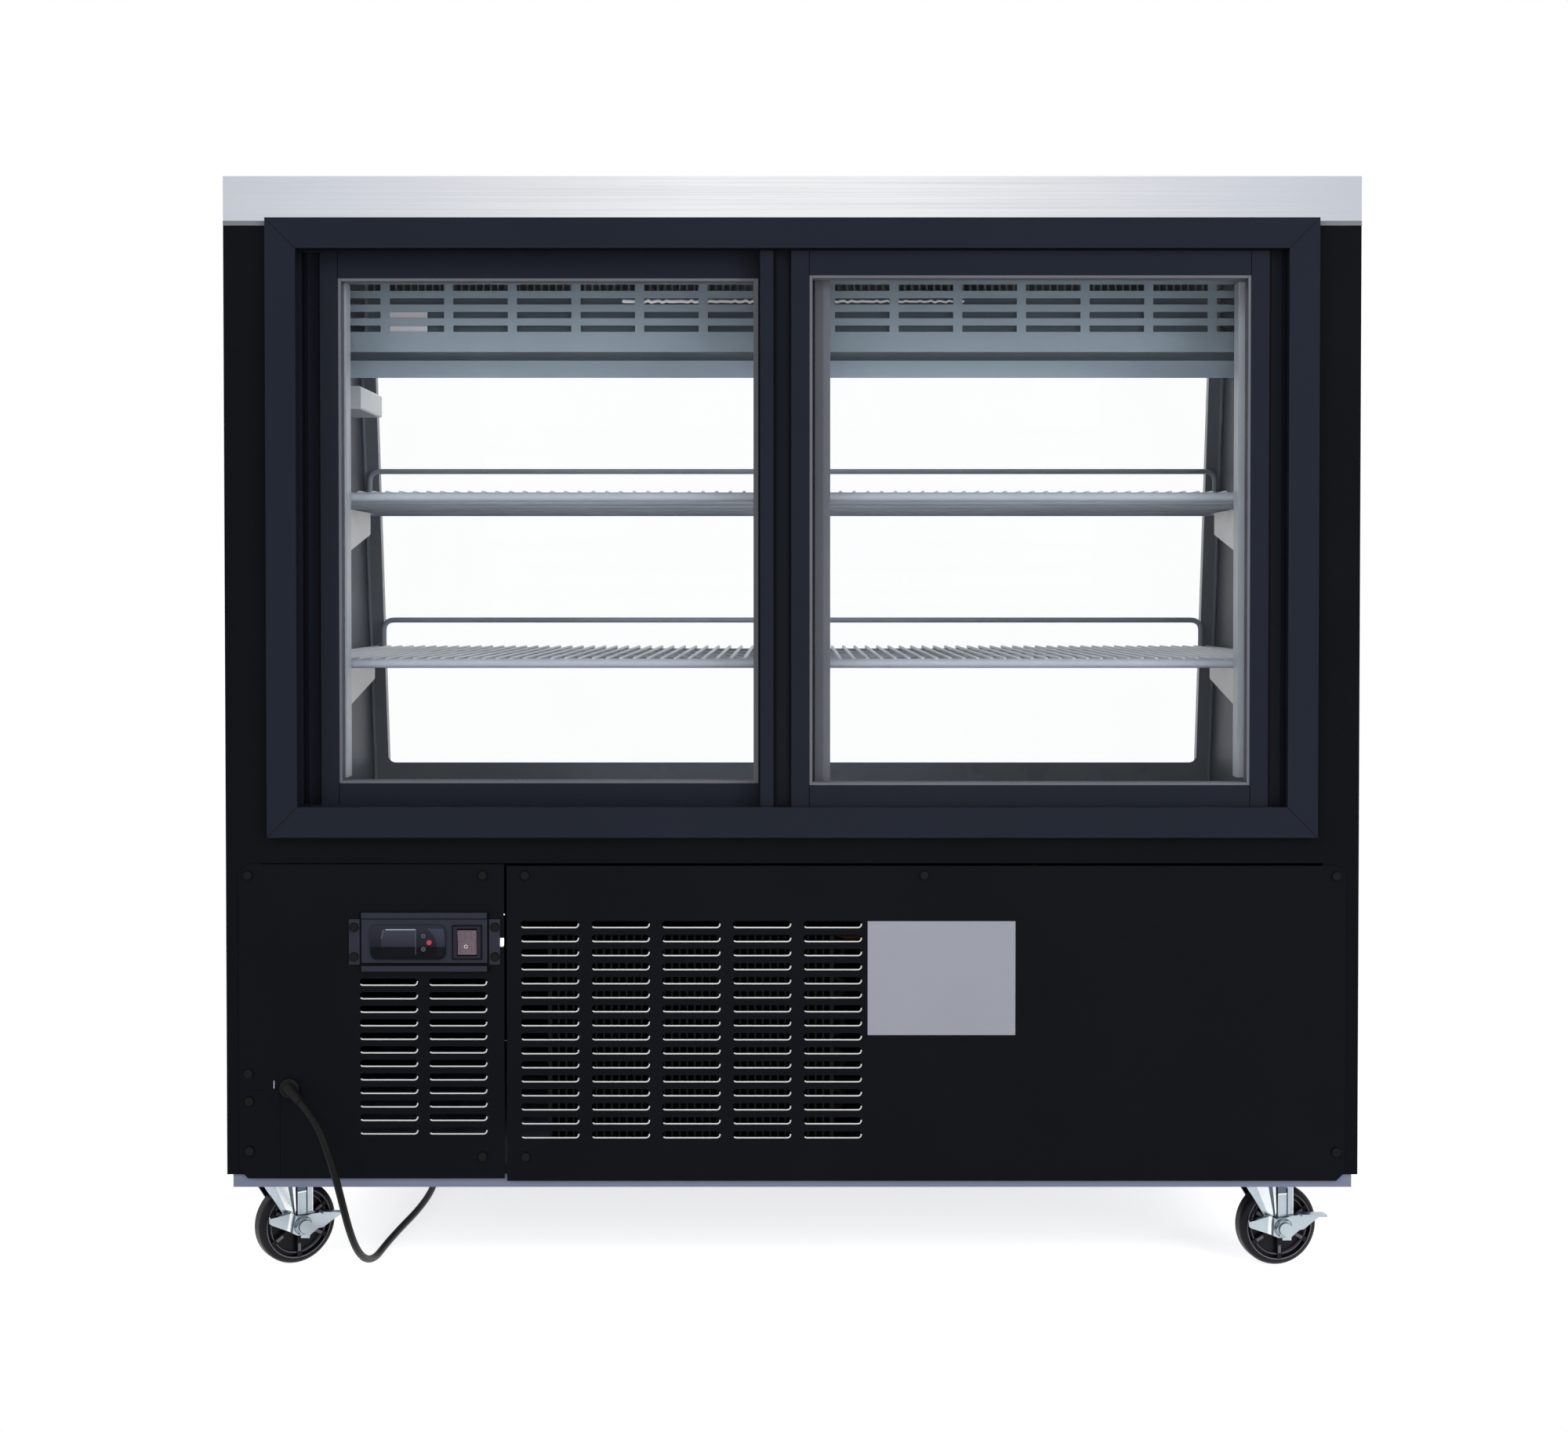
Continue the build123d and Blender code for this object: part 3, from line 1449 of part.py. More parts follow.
def refrigerant_pipes():
    """The discharge, suction and liquid pipes, with the drier in the liquid line."""
    x_can = x_compressor
    y_can = compressor_y
    z_can = z_body + machine_foot + compressor_height / 2
    reach = compressor_can / 2
    x_end = x_condenser + condenser_width / 2 + fin_sheet
    y_coil = (y_condenser + y_shroud) / 2
    z_high = z_condenser_top - pipe_diameter
    discharge = pipe_run([
        (x_can, y_can - reach, z_can), (x_can, y_can - reach - pipe_standoff, z_can),
        (x_can, y_can - reach - pipe_standoff, z_high), (x_can, y_coil + coil_tube * 2, z_high),
        (x_end, y_coil + coil_tube * 2, z_high),
    ])
    suction = pipe_run([
        (x_can, y_can + reach, z_can), (x_can, y_can + reach + pipe_standoff, z_can),
        (x_can, y_can + reach + pipe_standoff, z_beam),
    ])
    x_drier = x_end + pipe_standoff
    z_drier = z_condenser + drier_rise
    drier_end = x_drier + drier_length
    y_liquid = y_coil + coil_tube * 2
    drier = rod((x_drier, y_liquid, z_drier), (drier_end, y_liquid, z_drier), drier_diameter)
    drier = fillet(drier.edges(), drier_diameter / 3)
    into = rod((x_end, y_liquid, z_drier), (x_drier, y_liquid, z_drier), pipe_diameter)
    out = pipe_run([
        (drier_end, y_liquid, z_drier), (drier_end + pipe_reach, y_liquid, z_drier),
        (drier_end + pipe_reach, y_liquid, z_beam),
    ])
    return discharge, suction, drier + into + out


def save(name, *solids):
    """Write one sub-part, made of one or more separate solids."""
    pieces = []
    for solid in solids:
        pieces.extend(solid.solids())
    shape = pieces[0] if len(pieces) == 1 else Compound(children=pieces)
    export_step(shape, f"parts/{name}.step")


def main():
    """Build every sub-part and write it."""
    os.makedirs("parts", exist_ok=True)
    save("base_frame", base_frame())
    for name, sign in (("left", -1), ("right", 1)):
        panel = side_panel(sign)
        panel = screw_holes(panel, panel_screw_places, y_rear, y_panel + panel_screw_length,
                            panel_screw_shank)
        save(f"side_panel_{name}", panel)
    save("chamber_liner", *chamber_liner())
    save("rear_frame", *rear_frame())
    save("insulated_deck", insulated_deck())
    save("front_panel", front_panel())
    save("bumper", bumper())
    save("front_glass_outer", front_glass_outer())
    save("front_glass_inner", front_glass_inner())
    save("glass_spacer", *glass_spacer())
    save("stainless_top", stainless_top())
    save("roof_core", roof_core())
    save("door_frame", *door_frame())
    travel = 2 * (x_opening + door_engagement) - door_width - door_stop
    print(f"door travel {travel:.1f}")
    doors = {
        "right": (x_opening + door_engagement - door_width, y_outer_track + slide_gap),
        "left": (-x_opening - door_engagement, y_inner_track + slide_gap),
    }
    for name, (x_left, y_near) in doors.items():
        save(f"door_{name}_frame", *door_bars(x_left, y_near))
        save(f"door_{name}_glass", door_pane(x_left, y_near))
    save("evaporator_cover", evaporator_cover())
    save("evaporator_coil", *evaporator_coil())
    save("evaporator_tray", *evaporator_tray())
    for name, sign in (("left", -1), ("right", 1)):
        x = sign * evaporator_fan_spacing / 2
        save(f"evaporator_fan_{name}", fan_rotor(x, y_evaporator_fan, z_fan, evaporator_fan_size))
    save("lamp_strip", lamp_strip())
    save("driver_box", driver_box())
    shelves = {
        "upper": (z_deck + upper_shelf_rise, upper_shelf_glass_gap, upper_guard_height, upper_guard_inset),
        "lower": (z_deck + lower_shelf_rise, lower_shelf_glass_gap, lower_guard_height, lower_guard_inset),
    }
    brackets = []
    for name, (level, glass_gap, guard_height, guard_inset) in shelves.items():
        save(f"shelf_{name}", shelf(level, glass_gap, guard_height, guard_inset))
        brackets += [shelf_bracket(sign, level, glass_gap) for sign in (-1, 1)]
    save("shelf_posts", *shelf_posts())
    save("shelf_brackets", *brackets)
    save("rear_panel_left", rear_panel_left())
    save("rear_panel_right", rear_panel_right())
    save("cord_cover_plate", cord_cover_plate())
    save("panel_screws", *panel_screws())
    save("control_plate", control_plate())
    save("controller", controller())
    for name, place in button_places.items():
        save(f"button_{name}", button(place))
    save("switch_frame", switch_frame())
    save("switch_rocker", switch_rocker())
    save("cord_gland", cord_gland())
    save("supply_cord", supply_cord())
    save("cord_coil", cord_coil())
    save("plug", plug())
    save("castor_plates", *[Pos(x, y, 0) * castor_plate() for x, y, turn in castor_places.values()])
    for name in castor_places:
        location = castor_location(name)
        save(f"castor_fork_{name}", location * castor_fork())
        save(f"castor_wheel_{name}", location * castor_wheel())
        if name in pedal_leans:
            save(f"brake_pedal_{name}", location * castor_pedal(pedal_leans[name]))
    save("compressor", compressor())
    save("condenser_coil", *condenser_coil())
    save("condenser_shroud", *condenser_shroud())
    save("condenser_fan", fan_rotor(x_condenser, y_condenser_fan, z_condenser_fan, condenser_fan_size))
    save("refrigerant_pipes", *refrigerant_pipes())


main()
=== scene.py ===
"""A refrigerated display case on castors, dressed and lit as its operator sees it.

Every piece is in metres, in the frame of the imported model: X runs to the operator's right, +Y is the customer side,
and Z is up from the floor. Small parts are drawn in millimetres and scaled when they are finished.
"""

import json
import logging
import math
from collections.abc import Callable, Sequence
from dataclasses import dataclass, field
from enum import Enum
from typing import Any

import bmesh
import bpy
from mathutils import Matrix, Vector

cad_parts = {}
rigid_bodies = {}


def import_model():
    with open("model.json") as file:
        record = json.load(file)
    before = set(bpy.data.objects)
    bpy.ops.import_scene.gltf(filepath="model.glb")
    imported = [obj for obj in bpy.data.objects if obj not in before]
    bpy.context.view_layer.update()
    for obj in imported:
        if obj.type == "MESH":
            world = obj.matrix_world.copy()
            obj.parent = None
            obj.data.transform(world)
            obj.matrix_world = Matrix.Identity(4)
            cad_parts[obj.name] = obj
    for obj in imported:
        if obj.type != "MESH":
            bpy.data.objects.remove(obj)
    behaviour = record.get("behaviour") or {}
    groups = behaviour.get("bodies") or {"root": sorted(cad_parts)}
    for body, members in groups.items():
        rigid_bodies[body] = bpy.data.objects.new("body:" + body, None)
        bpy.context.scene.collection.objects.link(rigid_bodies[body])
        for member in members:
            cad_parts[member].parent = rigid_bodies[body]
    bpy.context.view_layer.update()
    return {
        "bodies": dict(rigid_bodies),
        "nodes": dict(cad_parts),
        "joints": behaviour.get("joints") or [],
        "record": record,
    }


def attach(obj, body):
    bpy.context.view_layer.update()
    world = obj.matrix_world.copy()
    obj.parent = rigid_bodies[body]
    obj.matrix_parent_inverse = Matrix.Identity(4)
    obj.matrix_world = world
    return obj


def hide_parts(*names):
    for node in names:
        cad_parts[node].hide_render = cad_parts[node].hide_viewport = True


log = logging.getLogger("display_case")

Pair = tuple[float, float]
Point = tuple[float, float, float]
Box = tuple[Pair, Pair, Pair]

MILLIMETRE = 0.001
IN_MM = Matrix.Scale(MILLIMETRE, 4)
SHARP_ANGLE = math.radians(35)
WHITE = (1.0, 1.0, 1.0)
DUST = (0.32, 0.31, 0.30)


def mm(*values: float) -> Vector:
    """A point or a size given in millimetres, in metres."""
    return Vector(values) * MILLIMETRE


def operator(operation: str, reflected: bool = False) -> Callable[["Value", Any], "Value"]:
    """Make one of Python's operators for values.

    Args:
        operation: The Math node's operation.
        reflected: Whether the value is the second operand.

    Returns:
        The operator.
    """
    def method(value: "Value", other: Any) -> "Value":
        """Add a Math node with the two operands."""
        return value.maths(operation, *((other, value) if reflected else (value, other)))

    return method


class Value:
    """A number in a shader that varies over the surface. Python's operators on it add Math nodes."""

    __add__ = operator("ADD")
    __radd__ = operator("ADD", reflected=True)
    __sub__ = operator("SUBTRACT")
    __rsub__ = operator("SUBTRACT", reflected=True)
    __mul__ = operator("MULTIPLY")
    __rmul__ = operator("MULTIPLY", reflected=True)
    __lt__ = operator("LESS_THAN")
    __gt__ = operator("GREATER_THAN")
    larger = operator("MAXIMUM")

    def __init__(self, shader: "Shader", socket: bpy.types.NodeSocket) -> None:
        """Wrap an output socket of one of the shader's nodes."""
        self.shader = shader
        self.socket = socket

    def maths(self, operation: str, first: Any, second: Any) -> "Value":
        """Add one Math node with two operands, and take its result."""
        node = self.shader.node("ShaderNodeMath", {"operation": operation}, {0: first, 1: second})
        return Value(self.shader, node.outputs[0])

    def __abs__(self) -> "Value":
        """Size without sign."""
        return self.maths("ABSOLUTE", self, 0.0)

    def ramp(self, low: float, high: float) -> "Value":
        """0 at or below low, 1 at or above high, and straight between them."""
        inputs = {"Value": self, "From Min": low, "From Max": high}
        return Value(self.shader, self.shader.node("ShaderNodeMapRange", {"clamp": True}, inputs).outputs[0])


class Shader:
    """The nodes of a material, or of the world, under construction."""

    def __init__(self, owner: bpy.types.Material | bpy.types.World) -> None:
        """Take up the owner's nodes, with the surface and the output that a material starts with.

        Args:
            owner: The material or the world.
        """
        owner.use_nodes = True
        self.owner = owner
        self.tree = owner.node_tree
        self.surface = self.tree.nodes.get("Principled BSDF")
        self.output = self.tree.nodes.get("Material Output")

    def node(self, kind: str, settings: dict | None = None, inputs: dict | None = None) -> bpy.types.Node:
        """Add a node.

        Args:
            kind: The node's type.
            settings: Its own settings, set before its sockets.
            inputs: Values or links for its input sockets, by name or number.

        Returns:
            The new node.
        """
        node = self.tree.nodes.new(kind)
        for key, setting in (settings or {}).items():
            setattr(node, key, setting)
        for key, source in (inputs or {}).items():
            self.feed(node.inputs[key], source)
        return node

    def feed(self, socket: bpy.types.NodeSocket, source: Any) -> None:
        """Link an output to a socket, or set the socket's own value.

        Args:
            socket: The input socket.
            source: A value, an output socket, a colour or a number.
        """
        if isinstance(source, (Value, bpy.types.NodeSocket)):
            self.tree.links.new(getattr(source, "socket", source), socket)
        else:
            socket.default_value = (*source, 1.0) if socket.type == "RGBA" else source

    def set(self, **inputs: Any) -> None:
        """Feed the surface's sockets, named with underscores for spaces."""
        for key, source in inputs.items():
            self.feed(self.surface.inputs[key.replace("_", " ")], source)

    def cover(self, share: Any, colour: Point) -> None:
        """Lay another colour over the surface's colour, by a share that varies."""
        socket = self.surface.inputs["Base Color"]
        self.feed(socket, self.mix(share, socket.links[0].from_socket, colour))

    def place(self) -> bpy.types.NodeSocket:
        """The point on the piece, in metres, which moves with the piece."""
        return self.node("ShaderNodeTexCoord").outputs["Object"]

    def split(self, vector: bpy.types.NodeSocket) -> list[Value]:
        """A vector's X, Y and Z."""
        return [Value(self, part) for part in self.node("ShaderNodeSeparateXYZ", inputs={0: vector}).outputs]

    def noise(self, size: float, detail: float = 3.0, stretch: Point = (1.0, 1.0, 1.0)) -> Value:
        """Soft noise about 0.5.

        Args:
            size: How large a patch is, in metres.
            detail: How many finer layers it has.
            stretch: How many times longer a patch is along each axis.

        Returns:
            The noise.
        """
        scale = [1.0 / (size * factor) for factor in stretch]
        mapping = self.node("ShaderNodeMapping", {"vector_type": "POINT"}, {"Vector": self.place(), "Scale": scale})
        inputs = {"Vector": mapping.outputs[0], "Scale": 1.0, "Detail": detail, "Roughness": 0.55}
        return Value(self, self.node("ShaderNodeTexNoise", inputs=inputs).outputs["Fac"])

    def upward(self) -> Value:
        """How far a face looks up: 1 on a flat top, 0 on a wall or an underside."""
        return self.split(self.node("ShaderNodeNewGeometry").outputs["Normal"])[2].ramp(0.1, 0.9)

    def seen(self) -> Value:
        """1 for a ray from the eye, a mirror or through glass, else 0."""
        path = self.node("ShaderNodeLightPath").outputs
        eye, mirror, glass = (Value(self, path[f"Is {ray} Ray"]) for ray in ("Camera", "Glossy", "Transmission"))
        return eye.larger(mirror).larger(glass)

    def mix(self, factor: Any, first: Any, second: Any) -> bpy.types.NodeSocket:
        """Mix two colours or colour outputs, by the share of the second."""
        return self.node("ShaderNodeMix", {"data_type": "RGBA"}, {0: factor, 6: first, 7: second}).outputs[2]

    def bump(self, height: Value, depth: float) -> bpy.types.NodeSocket:
        """A normal bent by a height that varies from 0 to 1, over a depth in metres."""
        return self.node("ShaderNodeBump", inputs={"Height": height, "Strength": 1.0, "Distance": depth}).outputs[0]

    def cloudy(self, size: float, detail: float, colour: Point, clouded: Point) -> tuple[Value, bpy.types.NodeSocket]:
        """A colour that drifts in soft clouds.

        Args:
            size: How large a cloud is, in metres.
            detail: How many finer layers it has.
            colour: The colour.
            clouded: The clouds' colour.

        Returns:
            The clouds and the colour.
        """
        cloud = self.noise(size, detail)
        return cloud, self.mix(cloud.ramp(0.3, 0.7), colour, clouded)


@dataclass(frozen=True)
class Finish:
    """How a piece looks. Each kind lays its own nodes."""

    def make(self, name: str) -> bpy.types.Material:
        """Build the material.

        Args:
            name: Its name.

        Returns:
            The material.
        """
        shader = Shader(bpy.data.materials.new(name))
        self.lay(shader)
        return shader.owner

    def lay(self, shader: Shader) -> None:
        """Lay the nodes of the surface.

        Args:
            shader: The material's nodes.
        """
        raise NotImplementedError


@dataclass(frozen=True)
class Paint(Finish):
    """Painted sheet or moulded plastic: colour, sheen, fine texture, and dust on what faces up."""

    colour: Point
    clouded: Point
    roughness: float = 0.5
    specular: float = 0.25
    dust: float = 0.05
    change: float = 0.10
    grain: float = 0.0009
    grain_depth: float = 0.00006
    glow: float = 0.0
    cloud_size: float = 0.16
    dust_patch: float = 0.03
    dust_edge: Pair = (0.35, 0.75)

    def lay(self, shader: Shader) -> None:
        """Lay the paint, its grain and its dust.

        Args:
            shader: The material's nodes.
        """
        cloud, shade = shader.cloudy(self.cloud_size, 4.0, self.colour, self.clouded)
        settled = shader.upward() * shader.noise(self.dust_patch, 4.0).ramp(*self.dust_edge) * self.dust
        shader.set(Base_Color=shader.mix(settled, shade, DUST), Specular_IOR_Level=self.specular)
        shader.set(Roughness=self.roughness + (cloud - 0.5) * self.change + settled)
        shader.set(Normal=shader.bump(shader.noise(self.grain, 2.0), self.grain_depth))
        if self.glow:
            shader.set(Emission_Color=self.colour, Emission_Strength=self.glow)


@dataclass(frozen=True)
class Mitred(Paint):
    """Paint on a frame whose four corners are cut at 45 degrees, with a fine dark line at each cut."""

    half_width: float = 0.522
    sill: float = 0.510
    head: float = 1.098
    line: float = 0.0005
    dark: Point = (0.002, 0.002, 0.003)

    def lay(self, shader: Shader) -> None:
        """Lay the paint, and darken the four cuts.

        Args:
            shader: The material's nodes.
        """
        super().lay(shader)
        x, _, z = shader.split(shader.place())
        outside = abs(x) > self.half_width
        low = (abs(abs(x) + z - (self.half_width + self.sill)) < self.line) * (z < self.sill)
        high = (abs(abs(x) - z - (self.half_width - self.head)) < self.line) * (z > self.head)
        shader.cover(outside * (low + high), self.dark)


@dataclass(frozen=True)
class Fascia(Paint):
    """A glossy moulded face with a painted reflection: lighter on its upper part, and black below a step."""

    # light is the painted reflection's colour, laid above the step.
    light: Point = (0.030, 0.031, 0.045)
    step: float = 0.3627
    edge: float = 0.0008
    top: float = 0.3850
    least: float = 0.4

    def lay(self, shader: Shader) -> None:
        """Lay the plastic, and paint a reflection on its upper part, stronger towards its top.

        Args:
            shader: The material's nodes.
        """
        super().lay(shader)
        z = shader.split(shader.place())[2]
        share = z.ramp(self.step, self.top) * (1.0 - self.least) + self.least
        # Painted reflection above the step, stronger towards the top.
        shader.cover(z.ramp(self.step - self.edge, self.step) * share, self.light)


@dataclass(frozen=True)
class Brushed(Finish):
    """Stainless sheet brushed along X: long fine scratches and soft broad clouds, and a painted highlight that makes it
    brightest in the middle.
    """

    colour: Point
    shadow: Point
    roughness: float = 0.34
    highlight_reach: Pair = (0.1, 0.60)
    scratch_size: float = 0.00045
    scratch_length: float = 160.0
    scratch_depth: float = 0.00002
    scratch_change: float = 0.16
    streak_size: float = 0.0016
    streak_length: float = 240.0
    streak_edge: Pair = (0.25, 0.8)
    cloud_size: float = 0.35
    cloud_change: float = 0.08

    def lay(self, shader: Shader) -> None:
        """Lay the steel, its scratches and its painted highlight.

        Args:
            shader: The material's nodes.
        """
        scratch = shader.noise(self.scratch_size, 3.0, (self.scratch_length, 1.0, 1.0))
        streak = shader.noise(self.streak_size, 2.0, (self.streak_length, 1.0, 1.0))
        cloud = shader.noise(self.cloud_size, 2.0)
        x = shader.split(shader.place())[0]
        # Painted highlight: white in the middle, going to the steel's own colour towards the ends.
        middle = shader.mix(abs(x).ramp(*self.highlight_reach), WHITE, self.colour)
        shader.set(Base_Color=shader.mix(streak.ramp(*self.streak_edge) * 0.5 + 0.5, self.shadow, middle))
        change = (scratch - 0.5) * self.scratch_change + (cloud - 0.5) * self.cloud_change
        shader.set(Roughness=self.roughness + change)
        shader.set(Normal=shader.bump(scratch, self.scratch_depth), Metallic=1.0)


@dataclass(frozen=True)
class Plated(Finish):
    """Bright zinc or bare metal: a metal with cloudy sheen and fine pits."""

    colour: Point
    clouded: Point
    roughness: float
    change: float
    cloud_size: float = 0.012
    pit_size: float = 0.0007
    pit_depth: float = 0.00003

    def lay(self, shader: Shader) -> None:
        """Lay the metal and its pits.

        Args:
            shader: The material's nodes.
        """
        cloud, shade = shader.cloudy(self.cloud_size, 4.0, self.colour, self.clouded)
        shader.set(Base_Color=shade, Roughness=self.roughness + (cloud - 0.5) * self.change)
        shader.set(Normal=shader.bump(shader.noise(self.pit_size, 2.0), self.pit_depth), Metallic=1.0)


@dataclass(frozen=True)
class Glass(Finish):
    """Clear flat glass: mostly see-through, with a mirror sheen that grows at a slant and faint wipe marks."""

    through: Point
    sheen: float
    bending: float = 1.45
    roughness: float = 0.02
    wipe_size: float = 0.09
    wipe_height: float = 2.5
    wipe_edge: Pair = (0.45, 0.8)
    wipe_share: float = 0.004

    def lay(self, shader: Shader) -> None:
        """Lay the glass in place of the usual surface.

        Args:
            shader: The material's nodes.
        """
        shader.tree.nodes.remove(shader.surface)
        clear = shader.node("ShaderNodeBsdfTransparent", inputs={0: self.through})
        mirror = shader.node("ShaderNodeBsdfGlossy", inputs={"Color": WHITE, "Roughness": self.roughness})
        slant = Value(shader, shader.node("ShaderNodeFresnel", inputs={"IOR": self.bending}).outputs[0])
        marks = shader.noise(self.wipe_size, 4.0, (1.0, 1.0, self.wipe_height))
        wipe = marks.ramp(*self.wipe_edge) * self.wipe_share
        inputs = {0: slant * self.sheen + wipe, 1: clear.outputs[0], 2: mirror.outputs[0]}
        shader.feed(shader.output.inputs[0], shader.node("ShaderNodeMixShader", inputs=inputs).outputs[0])


@dataclass(frozen=True)
class Tinted(Finish):
    """A translucent moulded rocker: three columns of moulded dots and bars, and a ring on its lower half."""

    colour: Point
    clouded: Point
    roughness: float = 0.3
    middle: Pair = (-0.3453, 0.3669)
    column: float = 0.0060
    row: float = 0.0047
    dot: float = 0.00045
    bar: Pair = (0.0078, 0.0110)
    ring: Pair = (0.0014, 0.0019)
    ink: Point = (0.02, 0.015, 0.02)
    pale: Point = (0.70, 0.68, 0.70)
    cloud_size: float = 0.006
    cloud_change: float = 0.1
    dot_share: float = 0.8
    bar_share: float = 0.45
    ring_share: float = 0.7
    specular: float = 0.2

    def lay(self, shader: Shader) -> None:
        """Lay the rose plastic and what is moulded on it.

        Args:
            shader: The material's nodes.
        """
        cloud, rose = shader.cloudy(self.cloud_size, 3.0, self.colour, self.clouded)
        x, _, z = shader.split(shader.place())
        across = abs(x - self.middle[0])
        up = abs(z - self.middle[1])
        column = (across < self.dot) + (abs(across - self.column) < self.dot)
        marks = column * (abs(up - self.row) < self.dot) * self.dot_share
        marks = marks + column * (up > self.bar[0]) * (up < self.bar[1]) * self.bar_share
        low = z - (self.middle[1] - self.row)
        reach = across * across + low * low
        ring = (reach > self.ring[0] ** 2) * (reach < self.ring[1] ** 2)
        shader.set(Base_Color=shader.mix(ring * self.ring_share, shader.mix(marks, rose, self.ink), self.pale))
        shader.set(Roughness=self.roughness + (cloud - 0.5) * self.cloud_change, Specular_IOR_Level=self.specular)


class Surface(Enum):
    """Every finish of the case: a colour and its clouds' colour, how rough and shiny it is, and how dusty."""

    BODY_BLACK = Paint((0.0033, 0.0040, 0.0052), (0.0029, 0.0034, 0.0045), 0.55, 0.03)
    PANEL_BLACK = Paint((0.0033, 0.0040, 0.0052), (0.0029, 0.0035, 0.0047), 0.52, 0.04)
    FRAME_NAVY = Mitred((0.0078, 0.0100, 0.0168), (0.0072, 0.0093, 0.0155), 0.45, 0.08, grain_depth=0.00003)
    DOOR_NAVY = Paint((0.0083, 0.0104, 0.0170), (0.0077, 0.0097, 0.0158), 0.45, 0.06, 0.0, grain_depth=0.00003)
    # POCKET_BLACK serves as painted shade in grooves, gaps and hollows, and as the colour of dark joints, seals and the
    # slit.
    POCKET_BLACK = Paint((0.002, 0.002, 0.003), (0.003, 0.003, 0.004), 0.7, 0.05)
    BASE_GREY = Paint((0.130, 0.142, 0.205), (0.118, 0.130, 0.188), 0.45, 0.2)
    STAINLESS = Brushed((0.60, 0.63, 0.70), (0.55, 0.58, 0.65))
    LINER_GREY = Paint((0.062, 0.074, 0.092), (0.054, 0.065, 0.082), 0.45, 0.2)
    EVAPORATOR_GREY = Paint((0.165, 0.205, 0.245), (0.150, 0.188, 0.225), 0.42, 0.2)
    TRAY_GREY = Paint((0.33, 0.41, 0.49), (0.31, 0.385, 0.46), 0.40, 0.2, 0.0)
    # The evaporator cover's underside, darker as painted shade.
    UNDER_GREY = Paint((0.050, 0.066, 0.085), (0.045, 0.060, 0.078), 0.50, 0.1, 0.0)
    COIL_GREY = Paint((0.060, 0.074, 0.092), (0.080, 0.096, 0.115), 0.50, 0.15, 0.0)
    # The foil's glow is painted light.
    FOIL = Paint((0.92, 0.92, 0.90), (0.45, 0.46, 0.47), 0.30, 0.4, 0.0, grain=0.004, glow=0.15)
    WHITE_ENAMEL = Paint((0.73, 0.73, 0.72), (0.68, 0.68, 0.67), 0.38, 0.3, 0.02)
    WHITE_PLASTIC = Paint((0.80, 0.83, 0.85), (0.74, 0.77, 0.80), 0.42, 0.3, 0.02)
    POST_GREY = Paint((0.340, 0.370, 0.410), (0.300, 0.330, 0.370), 0.40, 0.25)
    SHELF_COAT = Paint((0.31, 0.34, 0.39), (0.27, 0.30, 0.345), 0.33, 0.3, grain_depth=0.00002)
    # The louvres' lips are painted pale grey as a highlight.
    LIP_GREY = Paint((0.50, 0.50, 0.50), (0.42, 0.42, 0.42), 0.35, 0.3, 0.0)
    LABEL_GREY = Paint((0.210, 0.217, 0.254), (0.197, 0.204, 0.241), 0.40, 0.2, 0.0, grain_depth=0.00001)
    PLATE_GREY = Paint((0.0165, 0.0185, 0.0290), (0.0145, 0.0165, 0.0255), 0.42, 0.10)
    # Painted reflection: the three glossy faces below are lighter above a step, by their light colour.
    GLOSS_BLACK = Fascia((0.0025, 0.0028, 0.004), (0.003, 0.0034, 0.0046), 0.20, 0.06, 0.0, 0.05, grain_depth=0.0,
                         light=(0.016, 0.018, 0.028))
    WINDOW_GREY = Fascia((0.003, 0.003, 0.005), (0.004, 0.004, 0.006), 0.15, 0.06, 0.0, 0.04, grain_depth=0.0,
                         light=(0.036, 0.038, 0.056))
    CAP_GREY = Fascia((0.004, 0.005, 0.008), (0.005, 0.006, 0.009), 0.20, 0.06, 0.0, 0.04, grain_depth=0.0,
                      light=(0.030, 0.038, 0.062))
    # Pale grey for the window's painted highlight, and for the pale line in the slit.
    MARK_GREY = Paint((0.30, 0.32, 0.36), (0.26, 0.28, 0.32), 0.40, 0.2, 0.0)
    # The notch's glow is painted light.
    NOTCH_WHITE = Paint((0.90, 0.90, 0.92), (0.86, 0.86, 0.88), 0.40, 0.2, 0.0, glow=0.3)
    BUTTON_RED = Paint((0.34, 0.022, 0.040), (0.28, 0.02, 0.036), 0.30, 0.3, 0.0)
    BUTTON_BLACK = Paint((0.016, 0.017, 0.021), (0.020, 0.021, 0.026), 0.25, 0.3, 0.0)
    ROCKER_ROSE = Tinted((0.112, 0.080, 0.095), (0.086, 0.062, 0.078))
    RUBBER_BLACK = Paint((0.009, 0.009, 0.0095), (0.013, 0.013, 0.014), 0.50, 0.22)
    CORD_BLACK = Paint((0.0035, 0.0035, 0.0035), (0.005, 0.005, 0.005), 0.42, 0.12, 0.01)
    WHEEL_BLACK = Paint((0.0035, 0.0035, 0.0045), (0.006, 0.0055, 0.0075), 0.34, 0.16, 0.02, grain_depth=0.00002)
    SCREW_BLACK = Paint((0.0025, 0.0025, 0.003), (0.004, 0.004, 0.005), 0.30, 0.12, 0.0)
    ZINC = Plated((0.52, 0.59, 0.64), (0.47, 0.54, 0.59), 0.30, 0.06)
    # Lit and shaded copies of the zinc: painted highlight and painted shade.
    ZINC_LIGHT = Plated((0.90, 0.94, 0.97), (0.84, 0.89, 0.92), 0.22, 0.05)
    ZINC_SHADE = Plated((0.13, 0.165, 0.19), (0.10, 0.13, 0.155), 0.35, 0.05)
